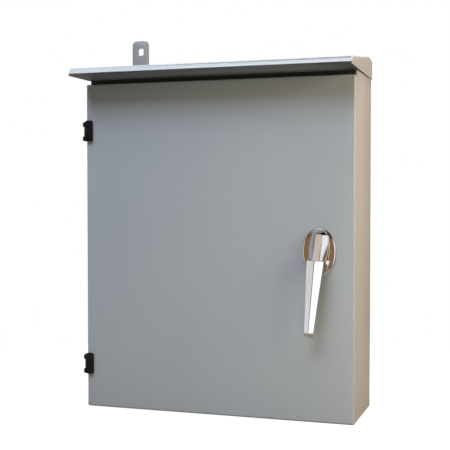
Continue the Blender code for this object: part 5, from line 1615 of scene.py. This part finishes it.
def floor():
    """Pale floor that fades into the backdrop; to the object's own light it is a darker, warmer floor."""
    form = Form().turned("Z", (0.0, 0.0), [(Z0 - 0.012, FLOOR_R), (Z0 - 0.0005, FLOOR_R)], 96)
    mesh = form.mesh("studio_floor")
    look = Look("studio_floor")
    tone = look.mixed(look.ranged(look.noise(1.6, 3.0), 0.3, 0.7), (0.90, 0.90, 0.90), (0.93, 0.93, 0.93))
    look.set(tone, look.ranged(look.noise(8.0), 0.3, 0.7, 0.72, 0.80))
    glow = look.node("ShaderNodeEmission")
    dim = look.node("ShaderNodeBsdfDiffuse")
    dim.inputs["Color"].default_value = (0.16, 0.13, 0.10, 1.0)
    away = look.node("ShaderNodeVectorMath", operation="LENGTH")
    look.link(look.place, away.inputs[0])
    fade = look.ranged(away.outputs["Value"], 0.42, 0.86, 0.45, 1.0)
    pale, whole = look.node("ShaderNodeMixShader"), look.node("ShaderNodeMixShader")
    look.link(fade, pale.inputs[0])
    look.link(look.shader.outputs[0], pale.inputs[1])
    look.link(glow.outputs[0], pale.inputs[2])
    look.link(look.node("ShaderNodeLightPath").outputs["Is Camera Ray"], whole.inputs[0])
    look.link(dim.outputs[0], whole.inputs[1])
    look.link(pale.outputs[0], whole.inputs[2])
    look.link(whole.outputs[0], look.tree.nodes["Material Output"].inputs["Surface"])
    mesh.materials.append(look.material)
    loose(mesh)


def camera():
    """The camera stands right of the object and looks a little down and to the left."""
    data = bpy.data.cameras.new("camera")
    data.sensor_width = 36.0
    data.lens = CAMERA_LENS
    obj = bpy.data.objects.new("camera", data)
    bpy.context.scene.collection.objects.link(obj)
    obj.location = CAMERA_AT
    obj.rotation_euler = (radians(90 - CAMERA_DOWN), 0.0, radians(CAMERA_TURN))
    bpy.context.scene.camera = obj


studio()
lamp("key", (-0.15, -0.77, 0.92), 3.2, (1.6, 1.2), 80.0, (0.77, 0.83, 1.0))
lamp("upper", (0.25, -0.50, 1.0), 3.2, (1.6, 1.0), 28.0, (0.89, 1.0, 0.94))
lamp("near_side", (1.0, -0.48, 0.26), 1.35, (0.5, 0.7), 10.9, (1.0, 0.84, 0.54), (0.10, -0.1, 0.05))
lamp("far_side", (1.0, 0.05, 0.45), 2.6, (1.0, 1.0), 58.0, (1.0, 0.735, 0.57), (0.10, -0.1, 0.05))
lamp("overhead", (0.0, 0.02, 1.0), 2.2, (1.6, 0.8), 78.0, (1.0, 0.98, 0.94), (0.0, -0.2, 0.0))
lamp("low", (0.12, -1.0, 0.04), 0.75, (1.0, 0.25), 2.0, (0.98, 1.0, 0.84), (0.14, -0.2, -0.25))
lamp("rear", (-0.8, 1.0, 0.5), 3.4, (2.0, 1.4), 70.0, (1.0, 1.0, 1.0))
floor()
camera()
bpy.context.scene.view_settings.view_transform = "Standard"
